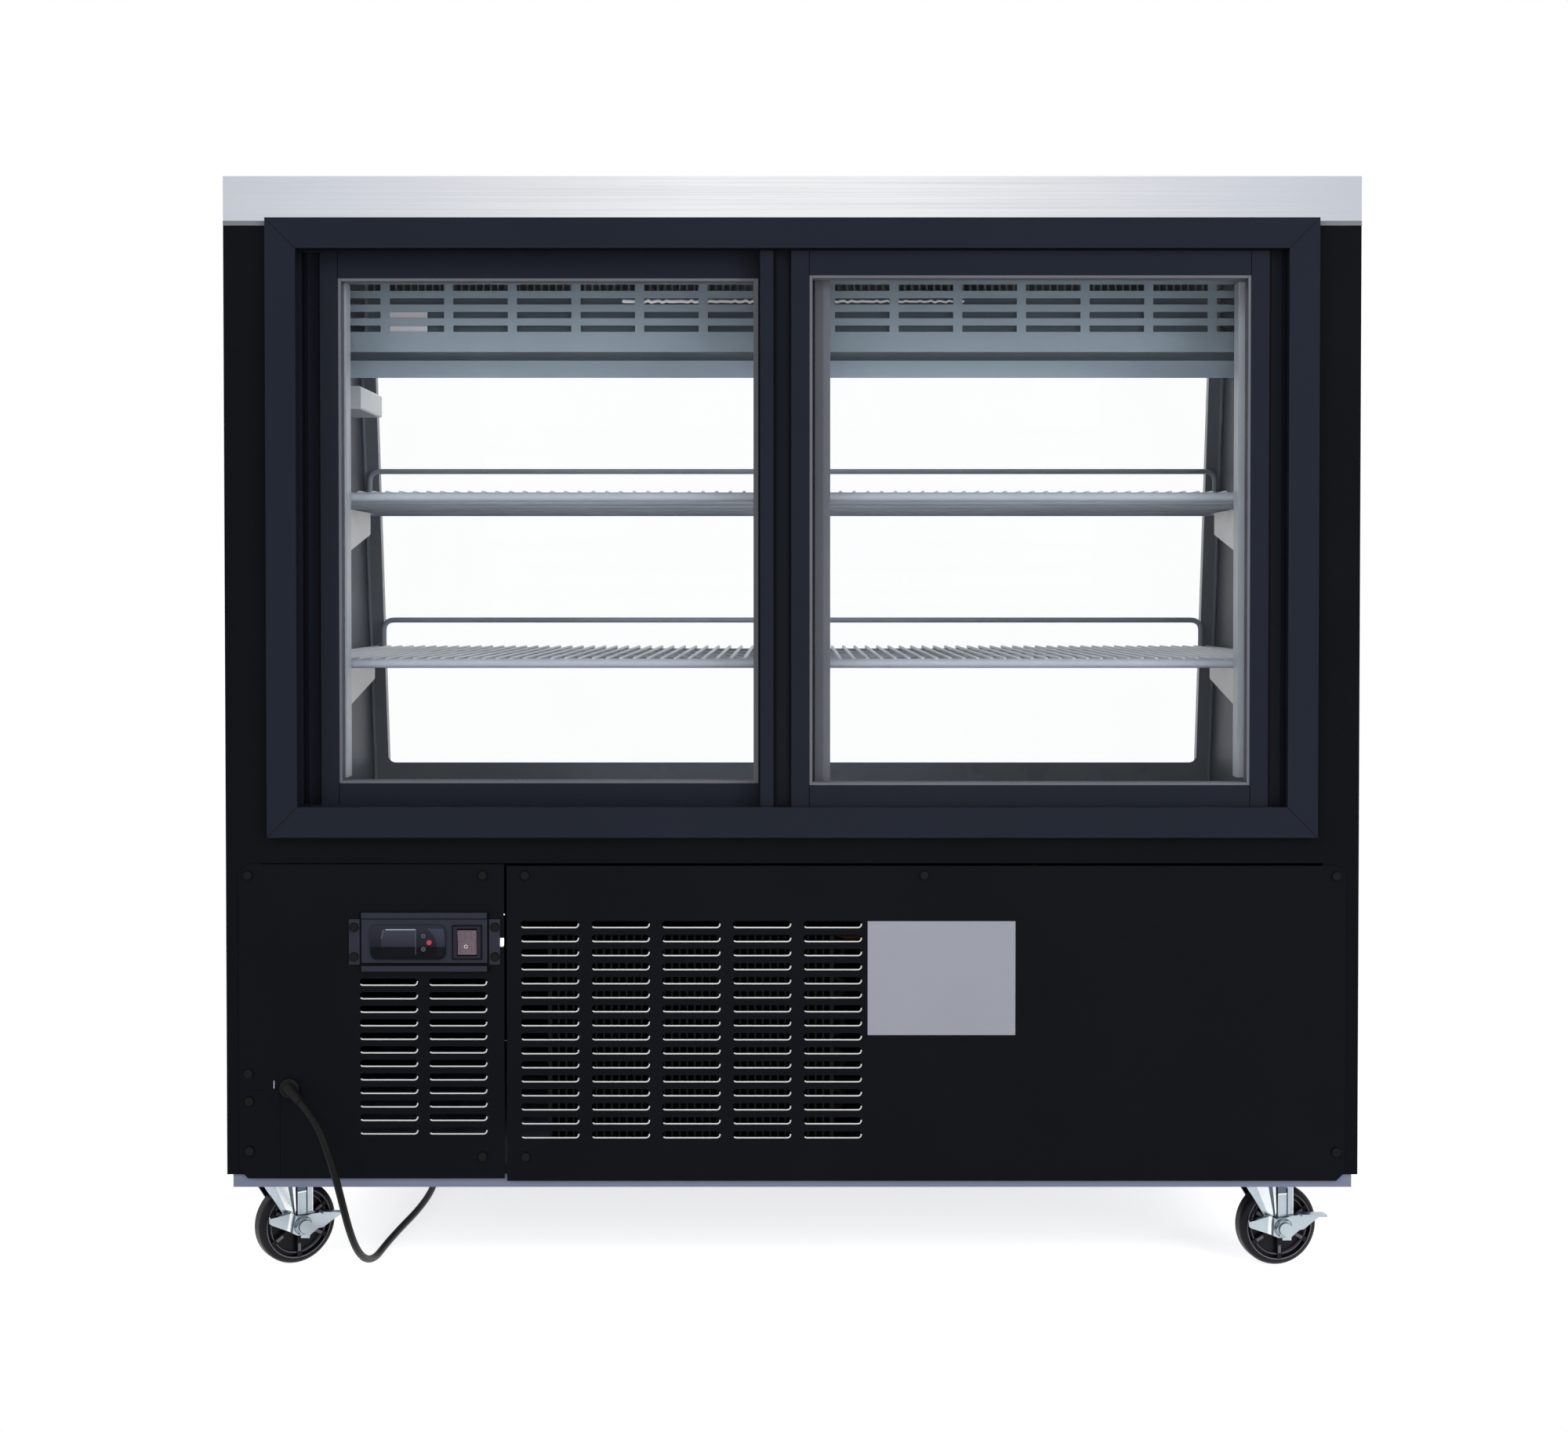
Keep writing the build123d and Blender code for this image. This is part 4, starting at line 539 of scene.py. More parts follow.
    # Printed rings on the buttons, and grey painted highlights on the wheels' ribs and spokes and along the controller
    # window's sides.
    RING_GREY = Paint((0.12, 0.12, 0.145), (0.09, 0.09, 0.11), 0.35, 0.3, 0.0)
    SPOKE_GREY = Paint((0.10, 0.10, 0.118), (0.07, 0.07, 0.085), 0.35, 0.3, 0.0)
    SWITCH_BLACK = Paint((0.011, 0.011, 0.019), (0.013, 0.013, 0.021), 0.35, 0.1, 0.0)
    COIL_BLACK = Paint((0.006, 0.006, 0.007), (0.010, 0.010, 0.011), 0.55, 0.15)
    BAFFLE_GREY = Paint((0.040, 0.055, 0.074), (0.034, 0.048, 0.066), 0.55, 0.1, 0.0)
    BLOCK_GREY = Paint((0.36, 0.35, 0.385), (0.32, 0.31, 0.345), 0.45, 0.2, 0.0)
    COPPER = Plated((0.10, 0.055, 0.038), (0.08, 0.04, 0.028), 0.45, 0.2)
    FAN_BLACK = Paint((0.012, 0.012, 0.014), (0.016, 0.016, 0.018), 0.50, 0.25)
    CAN_BLACK = Paint((0.006, 0.006, 0.007), (0.009, 0.009, 0.010), 0.30, 0.40)
    FOAM_GREY = Paint((0.42, 0.44, 0.47), (0.38, 0.40, 0.43), 0.60, 0.2)
    DIFFUSER = Paint((0.90, 0.93, 0.97), (0.86, 0.89, 0.93), 0.30, 0.3, 0.0, glow=2.5)
    FRONT_GLASS = Glass((0.999, 1.0, 1.0), 0.10)
    DOOR_GLASS = Glass((0.995, 0.998, 1.0), 0.12)
    FRIT_BLACK = Paint((0.150, 0.170, 0.198), (0.138, 0.157, 0.184), 0.28, 0.3, 0.0)
    STRIP_GREY = Paint((0.120, 0.125, 0.140), (0.105, 0.110, 0.125), 0.40, 0.2, 0.0)
    BEAD_GREY = Paint((0.175, 0.200, 0.235), (0.150, 0.175, 0.205), 0.40, 0.3, 0.0)
    SEAL_GREY = Paint((0.095, 0.099, 0.118), (0.082, 0.086, 0.103), 0.50, 0.15, 0.0)
    STRIP_SHADE = Paint((0.068, 0.072, 0.086), (0.060, 0.064, 0.077), 0.50, 0.15, 0.0)

    def material(self) -> bpy.types.Material:
        """The finish as a material, built once."""
        name = f"finish_{self.name.lower()}"
        return bpy.data.materials.get(name) or self.value.make(name)


def smooth(data: bpy.types.Mesh) -> None:
    """Shade a mesh smooth apart from its sharp edges."""
    data.polygons.foreach_set("use_smooth", [True] * len(data.polygons))
    data.set_sharp_from_angle(angle=SHARP_ANGLE)


def round_edges(piece: bpy.types.Object, width: float) -> None:
    """Round the sharp edges of a piece with a modifier.

    Args:
        piece: The piece.
        width: How far the rounding reaches from each edge.
    """
    modifier = piece.modifiers.new("rounded", "BEVEL")
    modifier.width = width
    modifier.segments = 2
    modifier.limit_method = "ANGLE"
    modifier.angle_limit = SHARP_ANGLE
    modifier.harden_normals = True


def rounded(low: Pair, high: Pair, radii: Sequence[float], steps: int) -> list[Pair]:
    """A rectangle's outline with its own radius at each corner.

    Args:
        low: Its lowest corner, as (x, z).
        high: Its highest corner.
        radii: The corners' radii, from low right round to low left.
        steps: How many steps each corner has.

    Returns:
        The outline's points, as many whatever the radii.
    """
    points = []
    for quarter, radius in enumerate(radii):
        x = low[0] + radius if quarter > 1 else high[0] - radius
        z = high[1] - radius if quarter in (1, 2) else low[1] + radius
        for step in range(steps + 1):
            angle = math.radians(90 * (quarter - 1 + step / steps))
            points.append((x + radius * math.cos(angle), z + radius * math.sin(angle)))
    return points


class Form:
    """A mesh under construction."""

    def __init__(self) -> None:
        """Start with nothing."""
        self.mesh = bmesh.new()

    def rings(self, rows: Sequence[Sequence[Vector]], closed: bool = False) -> "Form":
        """Skin rows of points, each row a closed ring.

        Args:
            rows: The rings, each with as many points.
            closed: Join the last ring to the first. Otherwise both ends get a face.

        Returns:
            The form itself.
        """
        skins = [[self.mesh.verts.new(point) for point in row] for row in rows]
        for before, after in zip(skins, skins[1:] + skins[:closed]):
            for index, corner in enumerate(before):
                turn = (index + 1) % len(before)
                self.mesh.faces.new((corner, before[turn], after[turn], after[index]))
        if not closed:
            self.mesh.faces.new(skins[0][::-1])
            self.mesh.faces.new(skins[-1])
        return self

    def prism(self, outline: Sequence[Vector], depth: Vector) -> "Form":
        """Draw a flat outline out along a vector, and close both ends."""
        return self.rings([outline, [point + depth for point in outline]])

    def box(self, x: Pair, y: Pair, z: Pair) -> "Form":
        """A box between two limits along each axis."""
        outline = [Vector((x[i], y[j], z[0])) for i, j in ((0, 0), (1, 0), (1, 1), (0, 1))]
        return self.prism(outline, Vector((0, 0, z[1] - z[0])))

    def tube(self, path: Sequence[Vector], radius: float, sides: int = 12, squash: float = 1.0) -> "Form":
        """A round bar along points, with no twist.

        Args:
            path: The points it follows.
            radius: Its radius.
            sides: How many sides its section has.
            squash: Its section's second radius over its first.

        Returns:
            The form itself.
        """
        turns = [math.tau * k / sides for k in range(sides)]
        ways = [(after - before).normalized() for before, after in zip([path[0], *path], [*path[1:], path[-1]])]
        side = ways[0].orthogonal().normalized()
        rows = []
        for point, way in zip(path, ways):
            side = (side - way * side.dot(way)).normalized()
            up = way.cross(side) * squash
            rows.append([point + (side * math.cos(turn) + up * math.sin(turn)) * radius for turn in turns])
        return self.rings(rows)

    def lathe(self, profile: Sequence[Pair], centre: Vector, axis: Vector, sides: int) -> "Form":
        """Turn a closed profile about an axis, as a ring.

        Args:
            profile: Pairs of radius and place along the axis.
            centre: Where the axis starts.
            axis: Its direction.
            sides: How many sides the ring has.

        Returns:
            The form itself.
        """
        side = axis.orthogonal().normalized()
        up = axis.cross(side)
        outs = [side * math.cos(math.tau * k / sides) + up * math.sin(math.tau * k / sides) for k in range(sides)]
        return self.rings([[centre + axis * along + out * radius for out in outs] for radius, along in profile], True)

    def moved(self, matrix: Matrix) -> "Form":
        """Move the whole form by a matrix."""
        bmesh.ops.transform(self.mesh, matrix=matrix, verts=self.mesh.verts)
        return self

    def finish(self, name: str, material: bpy.types.Material) -> bpy.types.Object:
        """Turn the form into an object.

        Args:
            name: The piece's name.
            material: What it is made of.

        Returns:
            The piece.
        """
        bmesh.ops.recalc_face_normals(self.mesh, faces=self.mesh.faces)
        data = bpy.data.meshes.new(name)
        self.mesh.to_mesh(data)
        self.mesh.free()
        smooth(data)
        data.materials.append(material)
        piece = bpy.data.objects.new(name, data)
        bpy.context.scene.collection.objects.link(piece)
        return piece


@dataclass
class SubAssembly:
    """Pieces that belong together. Each kind says how it is dressed."""

    frame: dict

    def dress(self, surface: Surface, *nodes: str, bevel: float = 0.0) -> None:
        """Give CAD nodes a finish.

        Args:
            surface: The finish.
            nodes: The nodes' names.
            bevel: How far their edges are rounded, or 0.
        """
        for node in nodes:
            piece = self.frame["nodes"][node]
            piece.data.materials.clear()
            piece.data.materials.append(surface.material())
            if bevel:
                smooth(piece.data)
                round_edges(piece, bevel)

    def add(self, form: Form, name: str, surface: Surface, slot: str, body: str = "root",
            replaces: Sequence[str] = (), bevel: float = 0.0) -> None:
        """Finish a form and fix it to a body.

        Args:
            form: The mesh.
            name: The piece's name.
            surface: Its finish.
            slot: The name of one of the record's material slots; not used.
            body: The body that carries it.
            replaces: The CAD nodes that it stands for.
            bevel: How far its edges are rounded, or 0.
        """
        piece = form.finish(name, surface.material())
        if bevel:
            round_edges(piece, bevel)
        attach(piece, body)
        if replaces:
            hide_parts(*replaces)
        log.info("%s: %d faces on %s", name, len(piece.data.polygons), body)

    def add_mm(self, form: Form, *details: Any, **more: Any) -> None:
        """Fix a form that is drawn in millimetres."""
        self.add(form.moved(IN_MM), *details, **more)

    def build(self) -> None:
        """Make and dress every piece of the sub-assembly."""
        raise NotImplementedError


@dataclass
class Studio:
    """The camera, the lamps, the pale floor and the white surroundings."""

    eye: Point = (0.0, -2.5375, 0.740)
    lens: float = 47.95
    sensor: float = 36.0
    pitch: float = math.radians(0.964)
    shift: Pair = (-0.0053, -0.0584)
    ambient: float = 0.50
    floor_half: float = 14.0
    floor_tone: float = 0.80
    floor_glow: float = 0.74
    shade_reach: Pair = (0.75, 0.48)
    shade_fade: float = 0.30
    lamps: Sequence[tuple[str, Point, Point, float, float]] = (
        ("key_lamp", (-2.0, -2.8, 2.6), (0.0, -0.3, 0.7), 1.6, 60.0),
        ("fill_lamp", (2.2, -2.6, 1.6), (-0.3, -0.3, 0.7), 1.8, 72.0),
        ("far_lamp", (0.4, 2.6, 2.4), (0.0, 0.0, 0.7), 2.0, 55.0),
        ("low_lamp", (0.0, -2.2, 0.35), (0.0, -0.3, 0.1), 1.2, 12.0),
    )

    def camera(self) -> None:
        """Set the camera up at the photograph's place and angle."""
        data = bpy.data.cameras.new("camera")
        data.lens = self.lens
        data.sensor_width = self.sensor
        data.shift_x, data.shift_y = self.shift
        data.clip_end = 100.0
        camera = bpy.data.objects.new("camera", data)
        camera.location = self.eye
        camera.rotation_euler = (math.pi / 2 - self.pitch, 0.0, 0.0)
        bpy.context.scene.collection.objects.link(camera)
        bpy.context.scene.camera = camera

    def surroundings(self) -> None:
        """Light the world evenly, and show it white to the eye, to mirrors and through glass."""
        world = bpy.data.worlds.new("surroundings")
        bpy.context.scene.world = world
        shader = Shader(world)
        ground = shader.tree.nodes["Background"].inputs
        shader.feed(ground["Color"], WHITE)
        shader.feed(ground["Strength"], shader.seen() * (1.0 - self.ambient) + self.ambient)

    def floor(self) -> None:
        """Lay the pale floor, which keeps the case's shadow and is white elsewhere."""
        shader = Shader(bpy.data.materials.new("studio_floor"))
        shader.set(Base_Color=(self.floor_tone,) * 3, Roughness=0.9, Specular_IOR_Level=0.0)
        seen = shader.seen()
        glow = shader.node("ShaderNodeEmission", inputs={"Color": WHITE, "Strength": seen * self.floor_glow})
        white = shader.node("ShaderNodeEmission", inputs={"Color": WHITE})
        lit = shader.node("ShaderNodeAddShader", inputs={0: shader.surface.outputs[0], 1: glow.outputs[0]})
        far_x, far_y = (abs(place).ramp(reach - self.shade_fade, reach)
                        for place, reach in zip(shader.split(shader.place()), self.shade_reach))
        inputs = {0: far_x.larger(far_y) * seen, 1: lit.outputs[0], 2: white.outputs[0]}
        shader.feed(shader.output.inputs[0], shader.node("ShaderNodeMixShader", inputs=inputs).outputs[0])
        form = Form()
        corners = [(sx * self.floor_half, sy * self.floor_half, 0.0) for sx, sy in ((-1, -1), (1, -1), (1, 1), (-1, 1))]
        form.mesh.faces.new([form.mesh.verts.new(corner) for corner in corners])
        form.finish("floor", shader.owner)

    def lights(self) -> None:
        """Hang the soft square lamps, unseen by the eye, by mirrors and through glass."""
        for name, place, aim, size, power in self.lamps:
            data = bpy.data.lights.new(name, "AREA")
            data.size = size
            data.energy = power
            lamp = bpy.data.objects.new(name, data)
            lamp.location = place
            lamp.rotation_euler = (Vector(aim) - Vector(place)).to_track_quat("-Z", "Y").to_euler()
            lamp.visible_camera = lamp.visible_glossy = lamp.visible_transmission = False
            bpy.context.scene.collection.objects.link(lamp)

    def build(self) -> None:
        """Set the stage: camera, surroundings, floor and lamps."""
        bpy.context.scene.view_settings.view_transform = "Standard"
        self.camera()
        self.surroundings()
        self.floor()
        self.lights()


@dataclass
class PowerCord(SubAssembly):
    """The mains cord: its free route down to the floor and under the case, its coil, its tie and its plug."""

    diameter: float = 0.0078
    length: float = 2.34
    gland: Point = (-532.6, -337.5, 211.8)
    heading: Vector = field(default_factory=lambda: Vector((0.65, -0.60, -0.45)).normalized())
    relief: float = 0.024
    relief_run: float = 0.032
    places: Sequence[Point] = (
        (-482.0, -377.5, 154.0), (-474.5, -376.0, 127.0), (-469.0, -369.0, 97.0), (-465.5, -354.0, 66.0),
        (-463.0, -328.0, 37.0), (-461.0, -292.0, 15.5), (-459.0, -250.0, 4.1), (-457.0, -205.0, 4.1),
        (-452.0, -145.0, 4.1), (-444.0, -75.0, 4.1), (-441.0, 0.0, 4.1), (-446.0, 66.0, 4.1),
    )
    coil_middle: Vector = field(default_factory=lambda: mm(-396.0, 178.0, 4.1))
    coil_radius: float = 0.046
    coil_turns: float = 5.5
    coil_air: float = 0.0007
    lead_in: float = 0.050
    lead_out: float = 0.036
    turn_points: int = 16
    tie_half: float = 0.003
    tie_thickness: float = 0.0007
    tie_low: float = 0.0004
    tie_bow: float = 0.001
    tie_reach: float = 1.6
    tie_air: float = 0.0006

    def route(self) -> list[Vector]:
        """The free stretch's points, from the strain relief to just before the coil."""
        leaving = mm(*self.gland) + self.heading * self.relief
        entry = self.turn(0.0) - Vector((0.0, self.diameter, 0.0))
        places = [leaving, leaving + self.heading * self.relief_run, *[mm(*place) for place in self.places]]
        return places + [entry - Vector((0.0, self.lead_in, 0.0)), entry]

    def turn(self, angle: float) -> Vector:
        """The coil's centre line: in along one layer, up a layer, and out again.

        Args:
            angle: How far round the coil the point is.

        Returns:
            The point.
        """
        pitch = self.diameter + self.coil_air
        whole = math.tau * self.coil_turns
        outer = self.coil_radius + self.coil_turns / 4 * pitch
        radius = outer - pitch * min(angle, whole - angle) / math.tau
        share = min(max((angle - whole / 2) / math.pi + 0.5, 0.0), 1.0)
        rise = pitch * share * share * (3 - 2 * share)
        return self.coil_middle + Vector((-radius * math.cos(angle), radius * math.sin(angle), rise))

    def build(self) -> None:
        """Make the cord as one spline, then its tie, and dress the gland and the plug."""
        steps = round(self.coil_turns * self.turn_points)
        coil = [self.turn(math.tau * self.coil_turns * step / steps) for step in range(steps + 1)]
        ending = coil[-1] - Vector((0.0, self.lead_out, 0.0))
        points = self.route() + coil + [(coil[-1] + ending) / 2, ending]
        data = bpy.data.curves.new("mains_cord", "CURVE")
        data.dimensions = "3D"
        data.bevel_depth = self.diameter / 2
        data.bevel_resolution = 6
        data.resolution_u = 6
        data.use_fill_caps = True
        spline = data.splines.new("NURBS")
        spline.points.add(len(points) - 1)
        for point, place in zip(spline.points, points):
            point.co = (*place, 1.0)
        spline.order_u = 3
        spline.use_endpoint_u = True
        data.materials.append(Surface.CORD_BLACK.material())
        cord = bpy.data.objects.new("mains_cord", data)
        bpy.context.scene.collection.objects.link(cord)
        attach(cord, "root")
        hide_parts("supply_cord", "cord_coil")
        self.tie()
        self.dress(Surface.CORD_BLACK, "cord_gland", "supply_cord", "cord_coil")
        self.dress(Surface.RUBBER_BLACK, "plug", bevel=0.0006)

    def tie(self) -> None:
        """Put a thin strap round the coil's bundle."""
        half = self.diameter / 2
        pitch = self.diameter + self.coil_air
        centre = self.coil_middle.y + self.coil_radius
        near, far = (centre + side * (pitch * self.tie_reach + half) for side in (-1, 1))
        low = self.tie_low
        high = self.coil_middle.z + pitch + half + self.tie_air
        rows = []
        for y, z in ((near, low), (far, low), (far + self.tie_bow, high / 2), (far, high), (near, high),
                     (near - self.tie_bow, high / 2)):
            out = Vector((0.0, y - centre, z - high / 2)).normalized() * self.tie_thickness
            rows.append([Vector((self.coil_middle.x + dx * self.tie_half, y, z)) + out * grow
                         for dx, grow in ((-1, 0), (1, 0), (1, 1), (-1, 1))])
        self.add(Form().rings(rows, closed=True), "coil_tie", Surface.SCREW_BLACK, "plug_black")


@dataclass
class Shell(SubAssembly):
    """The outside of the case: base, end panels, lower front, bumper, roof and stainless top."""

    half_width: float = 0.600
    frame_half: float = 0.5546
    rear: float = -0.330
    roof: float = 1.128
    strip_height: float = 0.0050
    strip_proud: float = 0.0010

    def build(self) -> None:
        """Dress the outside, and add the folded strips under the apron's ends."""
        self.dress(Surface.BASE_GREY, "base_frame", bevel=0.0006)
        self.dress(Surface.BODY_BLACK, "side_panel_left", "side_panel_right", bevel=0.0008)
        self.dress(Surface.BODY_BLACK, "front_panel", "rear_frame")
        self.dress(Surface.RUBBER_BLACK, "bumper")
        self.dress(Surface.STAINLESS, "stainless_top", bevel=0.0012)
        self.dress(Surface.FOAM_GREY, "roof_core", "insulated_deck")
        form = Form()
        for sign in (-1, 1):
            form.box((sign * self.half_width, sign * self.frame_half), (self.rear - self.strip_proud, self.rear),
                     (self.roof - self.strip_height, self.roof))
        self.add(form, "apron_strips", Surface.STRIP_GREY, "base_grey", bevel=0.0002)


@dataclass
class FrontGlass(SubAssembly):
    """The slanted front: two panes, their spacer, the dark printed border and the light beads."""

    wall: float = 0.561
    clear_half: float = 0.5415
    clear_low: float = 0.508
    clear_high: float = 1.092
    low: float = 0.478
    high: float = 1.110
    foot: float = 0.264
    lean: float = 0.100 / 0.650
    corner: float = 0.010
    edge_gap: float = 0.0002
    corner_steps: int = 6
    print_thickness: float = 0.0004
    bead: float = 0.0024
    bead_gap: float = 0.001

    def on_glass(self, x: float, z: float, off: float = 0.0) -> Vector:
        """A point on the inner pane's chamber side, or off it towards the operator."""
        return Vector((x, self.foot - self.lean * (z - self.low) - off, z))

    def build(self) -> None:
        """Dress the panes and make the border and the beads."""
        self.dress(Surface.FRONT_GLASS, "front_glass_outer", "front_glass_inner")
        self.dress(Surface.FRIT_BLACK, "glass_spacer")
        gap, thick = self.edge_gap, self.print_thickness
        inner = rounded((-self.clear_half, self.clear_low), (self.clear_half, self.clear_high), [self.corner] * 4,
                        self.corner_steps)
        outer = rounded((gap - self.wall, self.low + gap), (self.wall - gap, self.high - gap), [2 * gap] * 4,
                        self.corner_steps)
        rows = [[self.on_glass(x, z, off) for x, z in loop]
                for loop, off in ((inner, 0.0), (inner, thick), (outer, thick), (outer, 0.0))]
        self.add(Form().rings(rows, closed=True), "glass_border", Surface.FRIT_BLACK, "spacer_black")
        form = Form()
        foot = self.low + self.bead
        for sign in (-1, 1):
            x = sign * (self.wall - self.bead)
            form.tube([self.on_glass(x, z, self.bead) for z in (foot, self.high - self.bead_gap)], self.bead, 10)
        x = self.wall - 2 * self.bead
        form.tube([self.on_glass(-x, foot, self.bead), self.on_glass(x, foot, self.bead)], self.bead, 10)
        self.add(form, "glass_beads", Surface.BEAD_GREY, "evaporator_grey")


@dataclass
class Doors(SubAssembly):
    """The door frame and its two sliding doors, with the seals that hold their panes."""

    width: float = 0.570
    low: float = 0.498
    high: float = 1.110
    stile: float = 0.052
    top_rail: float = 0.039
    bottom_rail: float = 0.0345
    thickness: float = 0.018
    pane: float = 0.012
    seal_width: float = 0.0032
    seal_inset: float = 0.0008
    pulls: Sequence[Pair] = ((0.0142, 0.0168), (0.0306, 0.0332))
    pull_depth: Pair = (0.0012, 0.0018)
    half_seam: float = 0.0004
    seam_proud: float = 0.00015
    edge_seal: float = 0.0020
    edge_insets: Pair = (0.0010, 0.0015)
    strip_gap: float = 0.0005
    strips: Sequence[tuple[str, Pair, Pair, Surface]] = (
        ("beside", (-0.0414, -0.0182), (0.0002, 0.0028), Surface.SEAL_GREY),
        ("inner", (0.0242, 0.0330), (-0.0005, 0.0), Surface.STRIP_SHADE),
        ("outer", (0.0341, 0.0404), (-0.0005, 0.0080), Surface.SEAL_GREY),
        ("cover", (0.0330, 0.0341), (-0.0005, 0.0), Surface.SEAL_GREY),
    )
    # Where the painted shadow under the head's edge lies.
    shadow_strip: Box = ((-0.5215, 0.5215), (-0.3330, -0.3316), (1.0968, 1.098))
    lefts: dict[str, float] = field(default_factory=lambda: {"right": -0.034, "left": -0.536})
    nears: dict[str, float] = field(default_factory=lambda: {"right": -0.331, "left": -0.309})

    def seal(self, side: str) -> None:
        """Add a thin strip round one door's pane on both faces.

        Args:
            side: Which door, "left" or "right".
        """
        wide, near, far = self.seal_width, self.nears[side], self.nears[side] + self.thickness
        x0, x1 = self.lefts[side] + self.stile, self.lefts[side] + self.width - self.stile
        z0, z1 = self.low + self.bottom_rail, self.high - self.top_rail
        inner = (self.thickness - self.pane) / 2
        form = Form()
        for y in ((near + self.seal_inset, near + inner), (far - inner, far - self.seal_inset)):
            form.box((x0, x0 + wide), y, (z0, z1))
            form.box((x1 - wide, x1), y, (z0, z1))
            form.box((x0 + wide, x1 - wide), y, (z0, z0 + wide))
            form.box((x0 + wide, x1 - wide), y, (z1 - wide, z1))
        self.add(form, f"door_{side}_seal", Surface.SEAL_GREY, "spacer_black", f"door_{side}", bevel=0.0004)

    def seams(self, side: str) -> None:
        """Add one door's dark pieces: painted shade deep in the pulls' grooves, the lines between its bars, and its
        black edge seal.

        Args:
            side: Which door, "left" or "right".
        """
        near = self.nears[side]
        x0 = self.lefts[side]
        form = Form()
        for edge, sign in ((x0, 1), (x0 + self.width, -1)):
            # Painted shade: a black strip deep in each groove of the pulls.
            for start, end in self.pulls:
                form.box((edge + sign * start, edge + sign * end), tuple(near + depth for depth in self.pull_depth),
                         (self.low, self.high))
            middle = edge + sign * self.stile
            for z in ((self.low, self.low + self.bottom_rail), (self.high - self.top_rail, self.high)):
                form.box((middle - self.half_seam, middle + self.half_seam), (near - self.seam_proud, near), z)
        if side == "right":
            inset, short = self.edge_insets
            form.box((x0 - self.edge_seal, x0), (near + inset, near + self.thickness - inset),
                     (self.low + short, self.high - short))
        self.add(form, f"door_{side}_seams", Surface.POCKET_BLACK, "spacer_black", f"door_{side}")

    def build(self) -> None:
        """Dress the frame and the doors, and add the seals and the strips on the left door's hidden stile."""
        self.dress(Surface.FRAME_NAVY, "door_frame", bevel=0.0005)
        for side in self.lefts:
            self.dress(Surface.DOOR_NAVY, f"door_{side}_frame")
            self.dress(Surface.DOOR_GLASS, f"door_{side}_glass")
            self.seal(side)
            self.seams(side)
        tall = (self.low + self.bottom_rail + self.strip_gap, self.high - self.top_rail - self.strip_gap)
        for name, x, depths, surface in self.strips:
            form = Form().box(x, tuple(self.nears["left"] + depth for depth in depths), tall)
            self.add(form, f"meeting_strip_{name}", surface, "liner_grey", "door_left")
        # Painted shadow: a thin black strip under the head's edge, above the doors.
        self.add(Form().box(*self.shadow_strip), "head_gasket", Surface.POCKET_BLACK, "spacer_black")


@dataclass
class Chamber(SubAssembly):
    """The inside of the cold chamber, apart from its shelves."""

    underside: Box = ((-560.6, 560.6), (-235.0, -150.4), (1000.6, 1001.0))
    block: Box = ((-445.0, -402.0), (-232.6, -228.6), (1019.0, 1048.0))
    baffle: Box = ((-468.0, 468.0), (-228.4, -227.8), (1009.0, 1064.0))
    foil_half: float = 0.187
    foil_place: Pair = (-0.2305, 1.0570)
    foil_radius: float = 0.0030
    foil_step: float = 0.004
    foil_crumple: Pair = (0.0003, 0.0006)
    tray_floor: float = 0.984
    tray_near: float = -0.1504
    tray_depth: float = 0.130
    tray_slope: float = 0.0138

    def drip_tray(self) -> None:
        """The tray whose underside rises towards the customer side, in place of the flat CAD one."""
        form = Form()
        form.mesh.from_mesh(self.frame["nodes"]["evaporator_tray"].data)
        for vertex in form.mesh.verts:
            if vertex.co.z < self.tray_floor:
                share = (vertex.co.y - self.tray_near) / self.tray_depth
                vertex.co.z += self.tray_slope * min(max(share, 0.0), 1.0)
        self.add(form, "drip_tray", Surface.TRAY_GREY, "evaporator_grey", replaces=("evaporator_tray",))

    def foil(self) -> None:
        """The crumpled tape seen through the slots; its glow is painted light."""
        y, z = self.foil_place
        shift, lift = self.foil_crumple
        path = []
        for index in range(round(2 * self.foil_half / self.foil_step) + 1):
            wave = math.sin(index * 2.1) + math.sin(index * 3.7 + 1.0)
            x = index * self.foil_step - self.foil_half
            path.append(Vector((x, y + shift * math.sin(index * 5.3), z + lift * wave)))
        self.add(Form().tube(path, self.foil_radius, 6, 0.4), "foil_tape", Surface.FOIL, "fin_aluminium")

    def build(self) -> None:
        """Dress the liners, the evaporator housing and what hangs in it, the lamp and the driver box."""
        self.dress(Surface.LINER_GREY, "chamber_liner")
        self.dress(Surface.EVAPORATOR_GREY, "evaporator_cover", bevel=0.0003)
        self.dress(Surface.TRAY_GREY, "evaporator_tray")
        self.drip_tray()
        self.dress(Surface.COIL_GREY, "evaporator_coil")
        # Painted shade: a darker sheet under the evaporator cover.
        self.add_mm(Form().box(*self.underside), "cover_underside", Surface.UNDER_GREY, "evaporator_grey")
        self.add_mm(Form().box(*self.block), "terminal_block", Surface.BLOCK_GREY, "white_plastic", bevel=0.0006)
        self.add_mm(Form().box(*self.baffle), "coil_baffle", Surface.BAFFLE_GREY, "evaporator_grey")
        self.foil()
        self.dress(Surface.FAN_BLACK, "evaporator_fan_left", "evaporator_fan_right")
        self.dress(Surface.DIFFUSER, "lamp_strip", bevel=0.0006)
        self.dress(Surface.WHITE_PLASTIC, "driver_box")
        self.dress(Surface.POST_GREY, "shelf_posts", bevel=0.0010)
        self.dress(Surface.WHITE_ENAMEL, "shelf_brackets", bevel=0.0003)


